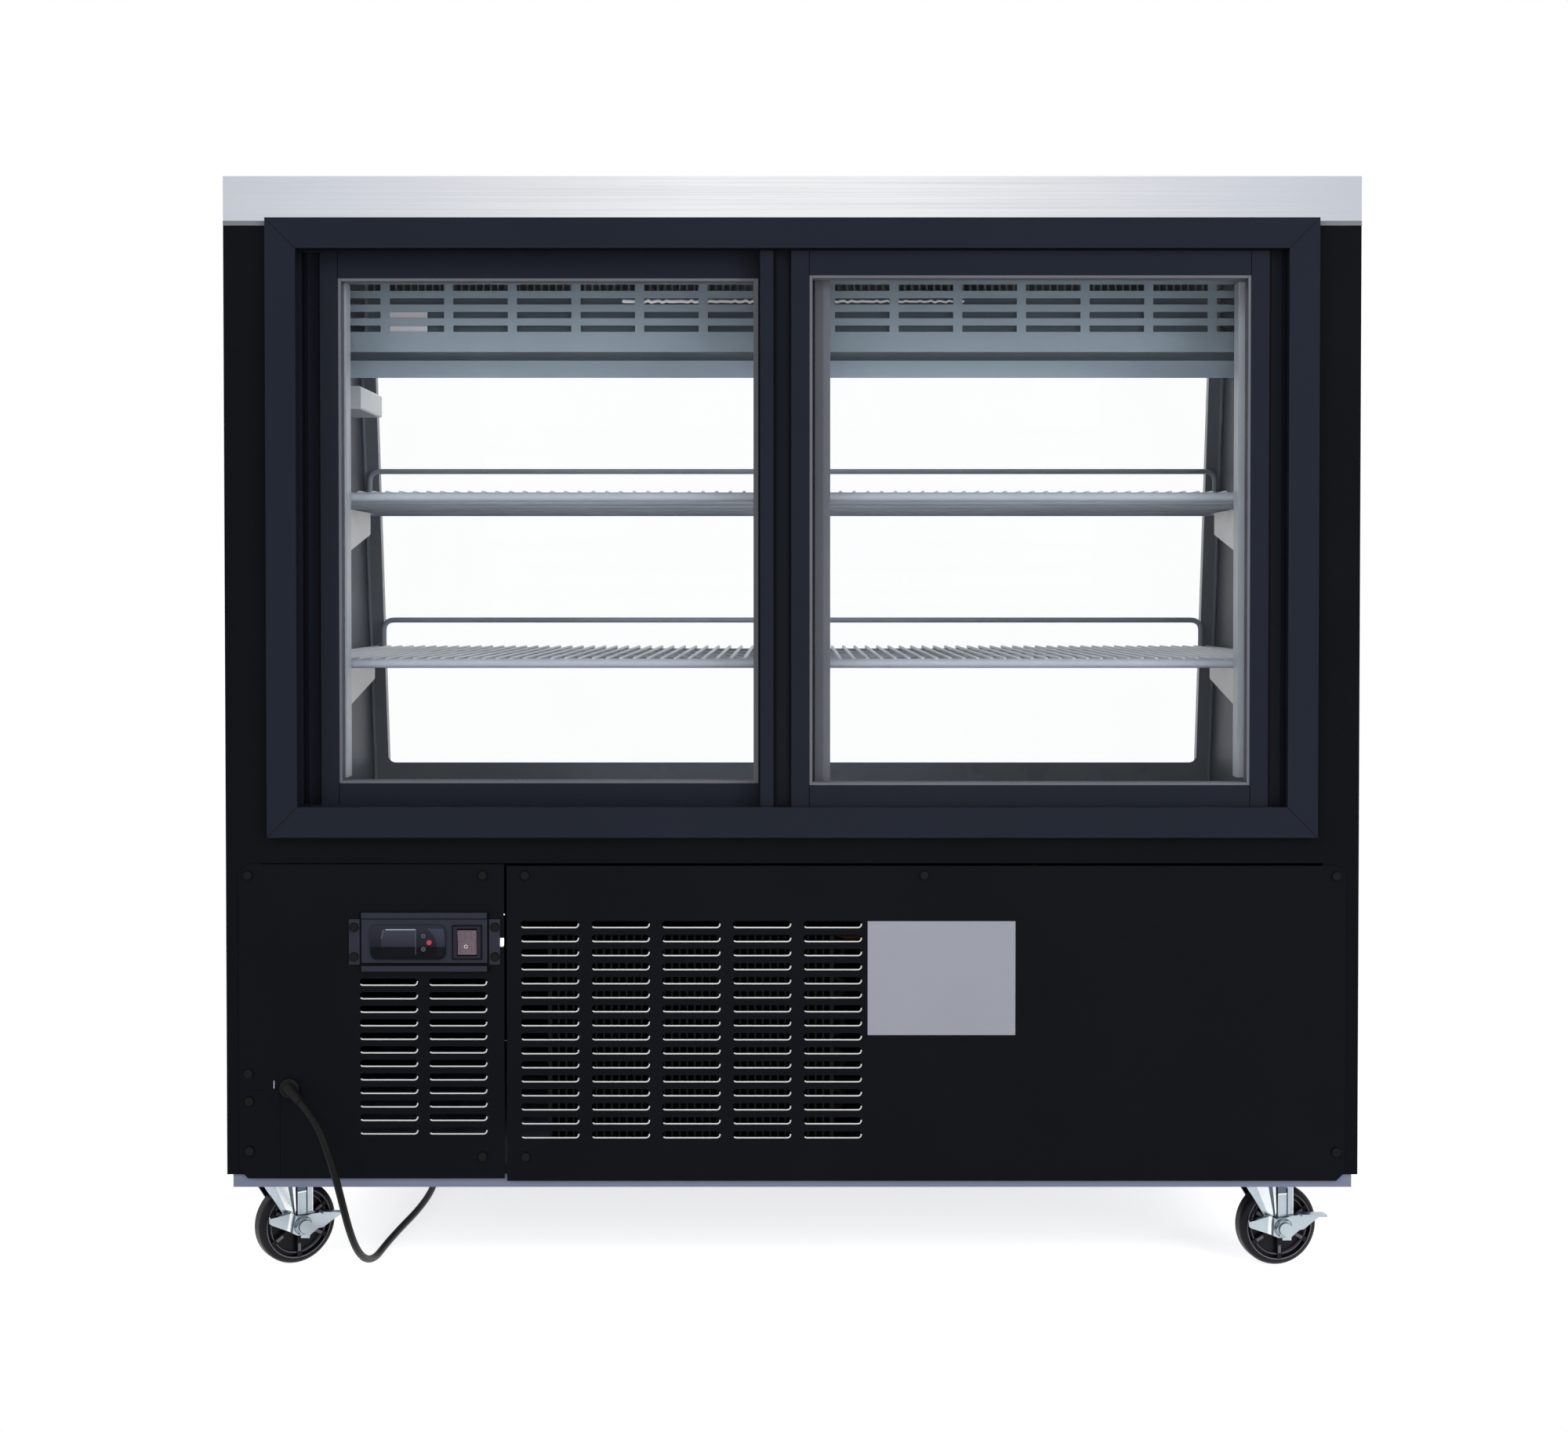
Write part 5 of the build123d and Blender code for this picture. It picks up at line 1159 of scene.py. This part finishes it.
@dataclass
class Shelf(SubAssembly):
    """One wire shelf: a rounded frame, cross rods, close wires sunk into the near rail, and a guard rail."""

    name: str = "upper"
    level: float = 0.8475
    far: float = 0.19695
    guard_height: float = 0.046
    guard_inset: float = 0.0
    half_width: float = 0.555
    near: float = -0.256
    rod: float = 0.008
    wire: float = 0.004
    hump: float = 0.0018
    pitch: float = 0.015
    guard: float = 0.007
    guard_bend: float = 0.014
    guard_setback: float = 0.006
    cross_rods: int = 3
    corner: float = 0.012
    bend_steps: int = 5

    def bent(self, corners: Sequence[Vector], radius: float) -> list[Vector]:
        """Round the corners of an open path of straight runs.

        Args:
            corners: The path's points.
            radius: How far along both runs each bend starts.

        Returns:
            The rounded path.
        """
        path = [corners[0]]
        for before, corner, after in zip(corners, corners[1:], corners[2:]):
            start = corner + (before - corner).normalized() * radius
            end = corner + (after - corner).normalized() * radius
            for step in range(self.bend_steps + 1):
                t = step / self.bend_steps
                path.append(start * (1 - t) ** 2 + corner * 2 * t * (1 - t) + end * t * t)
        return path + [corners[-1]]

    def rails(self, form: Form) -> None:
        """Add the frame of round rods, the thicker near rail and the rods across.

        Args:
            form: The shelf's mesh.
        """
        near, far = self.near, self.far
        x = self.half_width - self.rod / 2
        z = self.level - self.wire - self.rod / 2
        loop = [(0, near), (x, near), (x, far), (-x, far), (-x, near), (-0.0001, near)]
        form.tube(self.bent([Vector((*place, z)) for place in loop], self.corner), self.rod / 2, 14)
        for index in range(1, self.cross_rods + 1):
            y = near + (far - near) * index / (self.cross_rods + 1)
            form.tube([Vector((-x, y, z)), Vector((x, y, z))], self.rod / 2, 12)
        thick = (self.rod + self.wire - self.hump) / 2
        z = self.level - self.hump - thick
        form.tube([Vector((-x, near, z)), Vector((x, near, z))], thick, 16)

    def wires(self, form: Form) -> None:
        """Add the close wires, each sunk into the near rail's top at its end.

        Args:
            form: The shelf's mesh.
        """
        half = self.wire / 2
        count = int((2 * self.half_width - self.wire) // self.pitch)
        for index in range(count + 1):
            x = (index - count / 2) * self.pitch
            ends = (self.near - half, self.far + self.rod / 2)
            form.tube([Vector((x, y, self.level - half)) for y in ends], half, 10)

    def guard_rail(self, form: Form) -> None:
        """Add the raised rail along the far edge.

        Args:
            form: The shelf's mesh.
        """
        x = self.half_width - self.guard / 2 - self.guard_inset
        low, high = self.level - self.wire - self.rod, self.level + self.guard_height
        places = ((-x, low), (-x, high), (x, high), (x, low))
        corners = [Vector((side, self.far - self.guard_setback, z)) for side, z in places]
        form.tube(self.bent(corners, self.guard_bend), self.guard / 2, 12)

    def build(self) -> None:
        """Make the shelf in place of its plain solid."""
        form = Form()
        self.rails(form)
        self.wires(form)
        self.guard_rail(form)
        self.add(form, f"shelf_{self.name}_wirework", Surface.SHELF_COAT, "shelf_wire",
                 replaces=(f"shelf_{self.name}",))
        self.dress(Surface.SHELF_COAT, f"shelf_{self.name}")


@dataclass
class LouvreBlock:
    """A block of louvres: where its first one is, how they repeat, and how many there are."""

    first: Pair
    pitch: float
    step: float
    columns: int
    rows: int

    def centres(self) -> list[Pair]:
        """The middle of every louvre as (x, z)."""
        return [(self.first[0] + column * self.pitch, self.first[1] - row * self.step)
                for column in range(self.columns) for row in range(self.rows)]


@dataclass
class AccessPanels(SubAssembly):
    """The lower rear: the panels, their pressed louvres and screws, the bare plate and the cord's corner."""

    face: float = -0.3315
    louvre_width: float = 0.061
    louvre_height: float = 0.0070
    lip: float = 0.00075
    arcs: Sequence[tuple[int, int, int]] = ((-1, 225, 45), (1, 270, 100))
    arc_steps: int = 6
    left: LouvreBlock = field(default_factory=lambda: LouvreBlock((-0.4278, 0.3242), 0.0734, 0.01438, 2, 12))
    right: LouvreBlock = field(default_factory=lambda: LouvreBlock((-0.2570, 0.3854), 0.0749, 0.0149, 5, 16))
    plate: Box = ((79.8, 236.3), (-331.9, -331.5), (267.7, 388.7))
    slit: Box = ((-551.6, -547.6), (-331.6, -331.5), (209.8, 220.2))
    slit_light: Box = ((-550.0, -549.0), (-331.8, -331.6), (210.8, 219.2))

    def lips(self, block: LouvreBlock, name: str) -> None:
        """The pressed lip along each louvre's lower edge, which curls up at its right end, painted pale grey as a
        highlight.

        Args:
            block: The louvres.
            name: The piece's name.
        """
        form = Form()
        radius = self.louvre_height / 2
        for x, z in block.centres():
            path = []
            for sign, start, sweep in self.arcs:
                end = x + sign * (self.louvre_width / 2 - radius)
                for step in range(self.arc_steps + 1):
                    angle = math.radians(start + sweep * step / self.arc_steps)
                    path.append(Vector((end + radius * math.cos(angle), self.face, z + radius * math.sin(angle))))
            form.tube(path, self.lip, 8)
        self.add(form, name, Surface.LIP_GREY, "shelf_wire")

    def build(self) -> None:
        """Dress the panels and make the lips, the bare plate and the slit beside the cord."""
        self.dress(Surface.PANEL_BLACK, "rear_panel_left", "rear_panel_right", "cord_cover_plate")
        self.dress(Surface.SCREW_BLACK, "panel_screws")
        self.lips(self.left, "louvre_lips_left")
        self.lips(self.right, "louvre_lips_right")
        self.add_mm(Form().box(*self.plate), "bare_plate", Surface.LABEL_GREY, "shelf_wire", bevel=0.0002)
        self.add_mm(Form().box(*self.slit), "slit_gap", Surface.POCKET_BLACK, "switch_black")
        self.add_mm(Form().box(*self.slit_light), "slit_light", Surface.MARK_GREY, "white_plastic")


@dataclass
class Controls(SubAssembly):
    """The control plate with its controller, buttons and rocker switch, and the notch beside it, a white patch that
    glows as painted light.

    All its sizes are in millimetres. Outlines are pairs of (x, z), and those of the controller start at its middle.
    """

    face: float = -337.0
    plate: float = -333.5
    bezel: float = -334.5
    switch: float = -336.5
    panel: float = -331.5
    skin: float = 0.25
    middle: Pair = (-406.2, 366.9)
    window: tuple[Pair, Pair] = ((-28.2, -14.8), (8.7, 14.3))
    window_radii: Sequence[float] = (0.8, 0.8, 4.5, 4.5)
    round_steps: int = 5
    cap: Sequence[Pair] = ((19.8, 14.6), (24.0, 11.6), (27.4, 7.0), (29.8, 1.8), (30.8, -6.5), (29.6, -14.6),
                           (37.0, -14.4), (38.9, -8.0), (39.3, 0.0), (38.9, 8.0), (37.0, 14.6))
    # A painted highlight along the window's top.
    glint: Sequence[Pair] = ((-23.5, 13.6), (8.1, 13.6))
    glint_radius: float = 0.52
    edge_proud: float = 0.3
    # Painted highlights along the window's sides, as (path, radius).
    edges: Sequence[tuple[Sequence[Pair], float]] = (
        (((8.3, 13.6), (8.3, -13.0)), 0.18), (((-28.6, 4.2), (-26.6, 8.4), (-25.4, 13.2)), 0.22))
    rings: dict[str, Pair] = field(default_factory=lambda: {"button_up": (16.5, 7.0), "button_down": (16.5, -7.0)})
    ring: Sequence[Pair] = ((1.8, 0.0), (2.1, 0.0), (2.1, 0.1), (1.8, 0.1))
    button_proud: float = 0.8
    plate_middle: float = -389.3
    plate_bars: Sequence[tuple[Pair, Pair, float, float]] = (
        ((-66.4, 66.4), (24.05, 25.2), -333.5, 0.9), ((-66.4, 66.4), (-25.2, -24.05), -333.5, 1.15),
        ((-66.4, 66.4), (-24.05, -21.9), -334.5, 0.15), ((-68.6, -66.5), (-30.9, 30.9), -331.5, 2.1),
        ((66.5, 68.6), (-30.9, 30.9), -331.5, 2.1))
    switch_middle: float = -343.8
    switch_bars: Sequence[tuple[Pair, Pair, float, float]] = (
        ((-15.6, -14.5), (-18.1, 18.1), -336.5, 0.15), ((14.5, 15.6), (-18.1, 18.1), -336.5, 0.15),
        ((-14.5, 14.5), (-18.1, -17.0), -336.5, 0.15), ((-14.5, 14.5), (17.0, 18.1), -336.5, 0.15))
    notch: Sequence[Pair] = ((-309.5, 361.7), (-306.4, 361.7), (-305.4, 363.2), (-305.4, 370.9), (-309.5, 370.9))
    speck: tuple[Pair, Pair] = ((-305.6, -304.6), (395.2, 396.4))

    def at(self, places: Sequence[Pair], y: float) -> list[Vector]:
        """Points given from the controller's middle, at a depth."""
        return [Vector((self.middle[0] + x, y, self.middle[1] + z)) for x, z in places]

    def display(self) -> None:
        """The controller's window and the lighter cap at its right end, which carry a painted reflection, and painted
        highlights along the window's upper edge and sides.
        """
        depth = Vector((0, -self.skin, 0))
        outline = rounded(*self.window, self.window_radii, self.round_steps)
        self.add_mm(Form().prism(self.at(outline, self.face), depth), "display_window", Surface.WINDOW_GREY,
                    "controller_black")
        self.add_mm(Form().prism(self.at(self.cap, self.face), depth), "controller_cap", Surface.CAP_GREY,
                    "controller_black")
        proud = self.face - self.edge_proud
        self.add_mm(Form().tube(self.at(self.glint, proud), self.glint_radius, 8), "window_glints", Surface.MARK_GREY,
                    "white_plastic")
        form = Form()
        for path, radius in self.edges:
            form.tube(self.at(path, proud), radius, 6)
        self.add_mm(form, "window_edges", Surface.RING_GREY, "white_plastic")

    def marks(self) -> None:
        """The rings printed on the two black buttons."""
        for name, place in self.rings.items():
            form = Form().lathe(self.ring, self.at([place], self.face - self.button_proud)[0], Vector((0, -1, 0)), 28)
            self.add_mm(form, f"{name}_ring", Surface.RING_GREY, "white_plastic", name)

    def shadows(self) -> None:
        """Painted shade in the gaps round the bezel and the switch."""
        form = Form()
        level = self.middle[1]
        for middle, bars in ((self.plate_middle, self.plate_bars), (self.switch_middle, self.switch_bars)):
            for (x0, x1), (z0, z1), back, proud in bars:
                form.box((middle + x0, middle + x1), (back - proud, back), (level + z0, level + z1))
        self.add_mm(form, "control_shadows", Surface.POCKET_BLACK, "switch_black")

    def build(self) -> None:
        """Dress the controls and add what is printed and moulded on them, their painted highlights, reflection and
        shade, and the glowing notch in the panels' seam.
        """
        self.dress(Surface.PLATE_GREY, "control_plate", bevel=0.0003)
        self.dress(Surface.GLOSS_BLACK, "controller", bevel=0.0003)
        self.dress(Surface.SWITCH_BLACK, "switch_frame", bevel=0.0003)
        self.dress(Surface.ROCKER_ROSE, "switch_rocker", bevel=0.0003)
        self.dress(Surface.BUTTON_BLACK, "button_up", "button_down")
        self.dress(Surface.BUTTON_RED, "button_set")
        self.display()
        self.marks()
        self.shadows()
        # Painted light: a white patch and a speck that glow though they are no lamp.
        form = Form().prism([Vector((x, self.panel, z)) for x, z in self.notch], Vector((0, -self.skin, 0)))
        form.box(self.speck[0], (self.panel - self.skin, self.panel), self.speck[1])
        self.add_mm(form, "seam_notch", Surface.NOTCH_WHITE, "white_plastic")


@dataclass
class Castors(SubAssembly):
    """Four zinc castors: pressed forks, ringed wheels, and a brake pedal on the two at the rear, with painted
    highlights and painted shade.

    Their own sizes are in millimetres, from the point on the floor under the swivel. Pairs are (x, z).
    """

    places: dict[str, Point] = field(default_factory=lambda: {
        "rear_left": (-557.4, -255.0, 37.5), "rear_right": (519.0, -255.0, 11.5),
        "front_left": (-530.0, 255.0, 200.0), "front_right": (530.0, 255.0, 160.0)})
    leans: dict[str, float] = field(default_factory=lambda: {"rear_left": 11.5, "rear_right": 3.7})
    # The "light" and "shade" tones are a painted highlight and painted shade on the zinc, and "dark" is black painted
    # where shade falls.
    tones: dict[str, tuple[Surface, str]] = field(default_factory=lambda: {
        "plain": (Surface.ZINC, "zinc"), "light": (Surface.ZINC_LIGHT, "zinc"),
        "shade": (Surface.ZINC_SHADE, "zinc"), "dark": (Surface.POCKET_BLACK, "wheel_black")})
    axle: Pair = (12.0, 44.5)
    leg: float = 15.5
    inside: float = 12.5
    pedal: float = 21.0
    half_wheel: float = 11.5
    sweep: Sequence[Pair] = ((-5.6, 54.5), (-10.2, 62.0), (-15.2, 70.0), (-21.4, 80.0), (-26.3, 88.0), (-29.6, 93.6))
    sweep_right: float = 6.4
    fade: Pair = (53.0, 6.0)
    swell: Sequence[Pair] = ((0.0, 0.1), (0.04, 1.0), (0.30, 1.9), (0.50, 2.4), (0.69, 2.5),
                             (0.72, 1.2), (0.79, 1.2), (0.84, 2.2), (0.95, 1.9), (1.0, 0.1))
    # The swept part's bands: plain zinc, then painted highlight, painted shade and painted highlight again.
    bands: Sequence[tuple[int, int, str]] = ((0, 2, "plain"), (2, 4, "light"), (4, 7, "shade"), (7, 9, "light"))
    # Flat plates on each leg as (tone, x, z, how proud): the "dark" ones are painted shade in the gaps, and the thin
    # "light" and "shade" ones a painted highlight and painted shade.
    plates: Sequence[tuple[str, Pair, Pair, float]] = (
        ("dark", (6.5, 7.7), (55.0, 93.6), 0.3), ("plain", (7.8, 18.0), (55.0, 79.6), 0.9),
        ("light", (7.8, 18.0), (79.6, 81.0), 1.3), ("shade", (7.8, 18.0), (81.1, 93.6), 0.3),
        ("dark", (18.1, 18.9), (57.5, 86.0), 0.3), ("plain", (19.0, 24.4), (56.5, 93.6), 1.6),
        ("light", (24.4, 25.4), (56.5, 93.6), 1.8))
    rolled: tuple[Pair, float] = ((18.6, 27.2), 56.0)
    roll_proud: float = 1.2
    roll_radius: float = 1.3
    sunk: float = 0.1
    shade_lining_thickness: float = 0.4
    # Black painted shade on the inner face of each leg, above the hub.
    shade_lining: Sequence[Pair] = ((-29.6, 93.6), (25.0, 93.6), (25.0, 60.0), (-8.6, 60.0))
    # Rings of painted shade round a rear pedal's nut and cap, as (inner radius, outer radius, how proud).
    shade_rings: Sequence[tuple[float, float, float]] = ((9.6, 10.3, 0.3), (6.8, 7.5, 4.3))
    shade_ring_thickness: float = 0.25
    # Ribs on each face of the wheel, painted grey as highlights.
    wheel_rings: Sequence[Sequence[Pair]] = (((36.6, -0.5), (37.1, 0.12), (37.8, 0.02), (37.4, -0.5)),
                                             ((31.8, -6.0), (31.8, -1.4), (32.4, -1.4), (32.4, -6.0)))
    spokes: int = 6
    first_spoke: float = 30.0
    spoke_reach: Pair = (22.0, 30.6)
    half_spoke: float = 1.6
    spoke_proud: float = 0.2
    # The pedal's ridge is a painted highlight. The stripe beside it, the line along the tread and the rolls, as (tone,
    # radius, path), are painted shade.
    ridge: Sequence[Pair] = ((-17.8, 0.0), (-16.6, 1.3), (-15.2, 1.5), (-14.0, 1.1), (-13.0, 0.0))
    ridge_ends: Pair = (-6.9, 12.6)
    ridge_middle: float = -15.5
    ridge_slope: float = -0.3
    stripe: Sequence[Pair] = ((-13.2, -8.0), (-11.0, -8.6), (-11.0, 9.6), (-13.2, 10.6))
    tread: Sequence[Pair] = ((17.0, 14.4), (40.0, 14.4), (45.0, 16.4), (17.0, 16.4))
    rolls: Sequence[tuple[str, float, Sequence[Pair]]] = (
        ("shade", 0.8, ((-31.5, 9.0), (-18.6, 12.7))), ("dark", 0.9, ((-39.9, 7.0), (-31.5, 9.0))))

    def stand(self, name: str) -> Matrix:
        """A castor's place and turn, from its own axes in millimetres to the case's."""
        x, y, turn = self.places[name]
        return Matrix.Translation(mm(x, y, 0)) @ Matrix.Rotation(math.radians(turn), 4, "Z") @ IN_MM

    def tip(self, name: str) -> Matrix:
        """A rear pedal's rest lean about its axle, then its castor's place.

        Args:
            name: The castor's name.

        Returns:
            The matrix from the pedal's own axes to the case's.
        """
        x, z = self.axle
        lean = Matrix.Rotation(math.radians(self.leans[name]), 4, "Y")
        return self.stand(name) @ Matrix.Translation((x, 0, z)) @ lean @ Matrix.Translation((-x, 0, -z))

    def pressed(self, forms: dict[str, Form], side: int) -> None:
        """The swept part of a leg, pressed out round, in bands of plain zinc, painted highlight and painted shade.

        Args:
            forms: The forms that the bands join, by tone.
            side: -1 for the operator's side of the castor, 1 for the other.
        """
        start, run = self.fade
        for first, last, tone in self.bands:
            rows = []
            for left, z in self.sweep:
                out = min((z - start) / run, 1.0)
                row = [Vector((left + (self.sweep_right - left) * share, side * (self.leg + rise * out), z))
                       for share, rise in self.swell[first:last + 1]]
                rows.append(row + [Vector((point.x, side * (self.leg - self.sunk), z)) for point in (row[-1], row[0])])
            forms[tone].rings(rows)

    def fork(self, name: str) -> None:
        """The pressings on a fork: swept parts, flat plates, a folded edge and its rolled end on either side, with
        black painted shade on each leg's inner face and, on a rear castor, rings of painted shade by the pedal's nut.

        Args:
            name: The castor's name.
        """
        forms = {tone: Form() for tone in self.tones}
        for side in (-1, 1):
            self.pressed(forms, side)
            for tone, x, z, proud in self.plates:
                forms[tone].box(x, (side * self.leg, side * (self.leg + proud)), z)
            ends, z = self.rolled
            path = [Vector((x, side * (self.leg + self.roll_proud), z)) for x in ends]
            forms["plain"].tube(path, self.roll_radius, 10)
            shade_lining = [Vector((x, side * self.inside, z)) for x, z in self.shade_lining]
            forms["dark"].prism(shade_lining, Vector((0, -self.shade_lining_thickness * side, 0)))
        for inner, outer, proud in self.shade_rings if name in self.leans else ():
            centre = Vector((self.axle[0], -self.pedal - proud, self.axle[1]))
            ring = ((inner, 0.0), (outer, 0.0), (outer, self.shade_ring_thickness), (inner, self.shade_ring_thickness))
            forms["shade"].lathe(ring, centre, Vector((0, -1, 0)), 36)
        self.layers(forms, name, "fork", f"castor_{name}", self.stand(name))

    def layers(self, forms: dict[str, Form], name: str, part: str, body: str, place: Matrix) -> None:
        """Finish a part's forms, each in its own tone: plain zinc, painted highlight, painted shade and black painted
        shade.

        Args:
            forms: The forms by tone.
            name: The castor's name.
            part: What the pieces belong to.
            body: The body that carries them.
            place: From the castor's own millimetres to the case.
        """
        for tone, form in forms.items():
            surface, slot = self.tones[tone]
            self.add(form.moved(place), f"{part}_{tone}_{name}", surface, slot, body)

    def wheel(self, name: str) -> None:
        """The fine moulded ribs and the spokes' ends on both faces of a wheel, painted grey as highlights.

        Args:
            name: The castor's name.
        """
        rings, ends = Form(), Form()
        for side in (-1, 1):
            way = Vector((0, side, 0))
            face = Vector((self.axle[0], side * self.half_wheel, self.axle[1]))
            for profile in self.wheel_rings:
                rings.lathe(profile, face, way, 72)
            for index in range(self.spokes):
                angle = math.radians(self.first_spoke + 360 / self.spokes * index)
                out = Vector((math.cos(angle), 0, math.sin(angle)))
                across = Vector((-math.sin(angle), 0, math.cos(angle))) * self.half_spoke
                foot, tip = (face + out * reach for reach in self.spoke_reach)
                ends.prism([foot - across, tip - across, tip + across, foot + across], way * self.spoke_proud)
        stand = self.stand(name)
        self.add(rings.moved(stand), f"wheel_rings_{name}", Surface.RING_GREY, "wheel_black", f"wheel_{name}")
        self.add(ends.moved(stand), f"spoke_ends_{name}", Surface.SPOKE_GREY, "wheel_black", f"wheel_{name}")

    def on_pedal(self, places: Sequence[Pair], proud: float = 0.3) -> list[Vector]:
        """Points on a pedal's face, from its axle, or proud of it."""
        return [Vector((self.axle[0] + x, -self.pedal - proud, self.axle[1] + z)) for x, z in places]

    def brake(self, name: str) -> None:
        """A pedal's upright ridge in painted highlight, and painted shade beside it, on its rolled edges and as the
        dark line along its tread.

        Args:
            name: The castor's name.
        """
        forms = {tone: Form() for tone in ("light", "shade", "dark")}
        rows = []
        for height in self.ridge_ends:
            row = [self.on_pedal([(x, height + (x - self.ridge_middle) * self.ridge_slope)], rise)[0]
                   for x, rise in self.ridge]
            rows.append(row + self.on_pedal([(self.ridge_middle + self.sunk, height)], -2 * self.sunk))
        forms["light"].rings(rows)
        forms["shade"].prism(self.on_pedal(self.stripe), Vector((0, 0.4, 0)))
        forms["shade"].prism(self.on_pedal(self.tread, 0.2), Vector((0, 0.3, 0)))
        for tone, radius, path in self.rolls:
            forms[tone].tube(self.on_pedal(path), radius, 8)
        self.layers(forms, name, "pedal", f"pedal_{name}", self.tip(name))

    def build(self) -> None:
        """Dress the castors and add what is pressed and moulded on them, with its painted highlights and painted shade.
        """
        self.dress(Surface.ZINC, "castor_plates", bevel=0.0004)
        for name in self.places:
            self.dress(Surface.ZINC, f"castor_fork_{name}", bevel=0.0004)
            self.dress(Surface.WHEEL_BLACK, f"castor_wheel_{name}", bevel=0.0006)
            self.fork(name)
            self.wheel(name)
        for name in self.leans:
            self.dress(Surface.ZINC, f"brake_pedal_{name}", bevel=0.0004)
            self.brake(name)


@dataclass
class Machine(SubAssembly):
    """The cooling machine under the deck."""

    def build(self) -> None:
        """Dress the machine."""
        self.dress(Surface.CAN_BLACK, "compressor", bevel=0.0010)
        self.dress(Surface.COIL_BLACK, "condenser_coil")
        self.dress(Surface.BODY_BLACK, "condenser_shroud")
        self.dress(Surface.FAN_BLACK, "condenser_fan")
        self.dress(Surface.COPPER, "refrigerant_pipes")


def corners(low: Vector, high: Vector) -> list[list[float]]:
    """A box's corners as plain lists of numbers."""
    return [[float(value) for value in low], [float(value) for value in high]]


def main() -> None:
    """Build the studio and every sub-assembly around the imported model."""
    logging.basicConfig(level=logging.INFO, format="%(message)s")
    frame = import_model()
    Studio().build()
    sub_assemblies = [
        PowerCord(frame), Shell(frame), FrontGlass(frame), Doors(frame), Chamber(frame), Shelf(frame),
        Shelf(frame, name="lower", level=0.666, far=0.22198, guard_height=0.0335, guard_inset=0.013),
        AccessPanels(frame), Controls(frame), Castors(frame), Machine(frame),
    ]
    for sub_assembly in sub_assemblies:
        log.info("building %s", type(sub_assembly).__name__)
        sub_assembly.build()


if __name__ == "__main__":
    main()
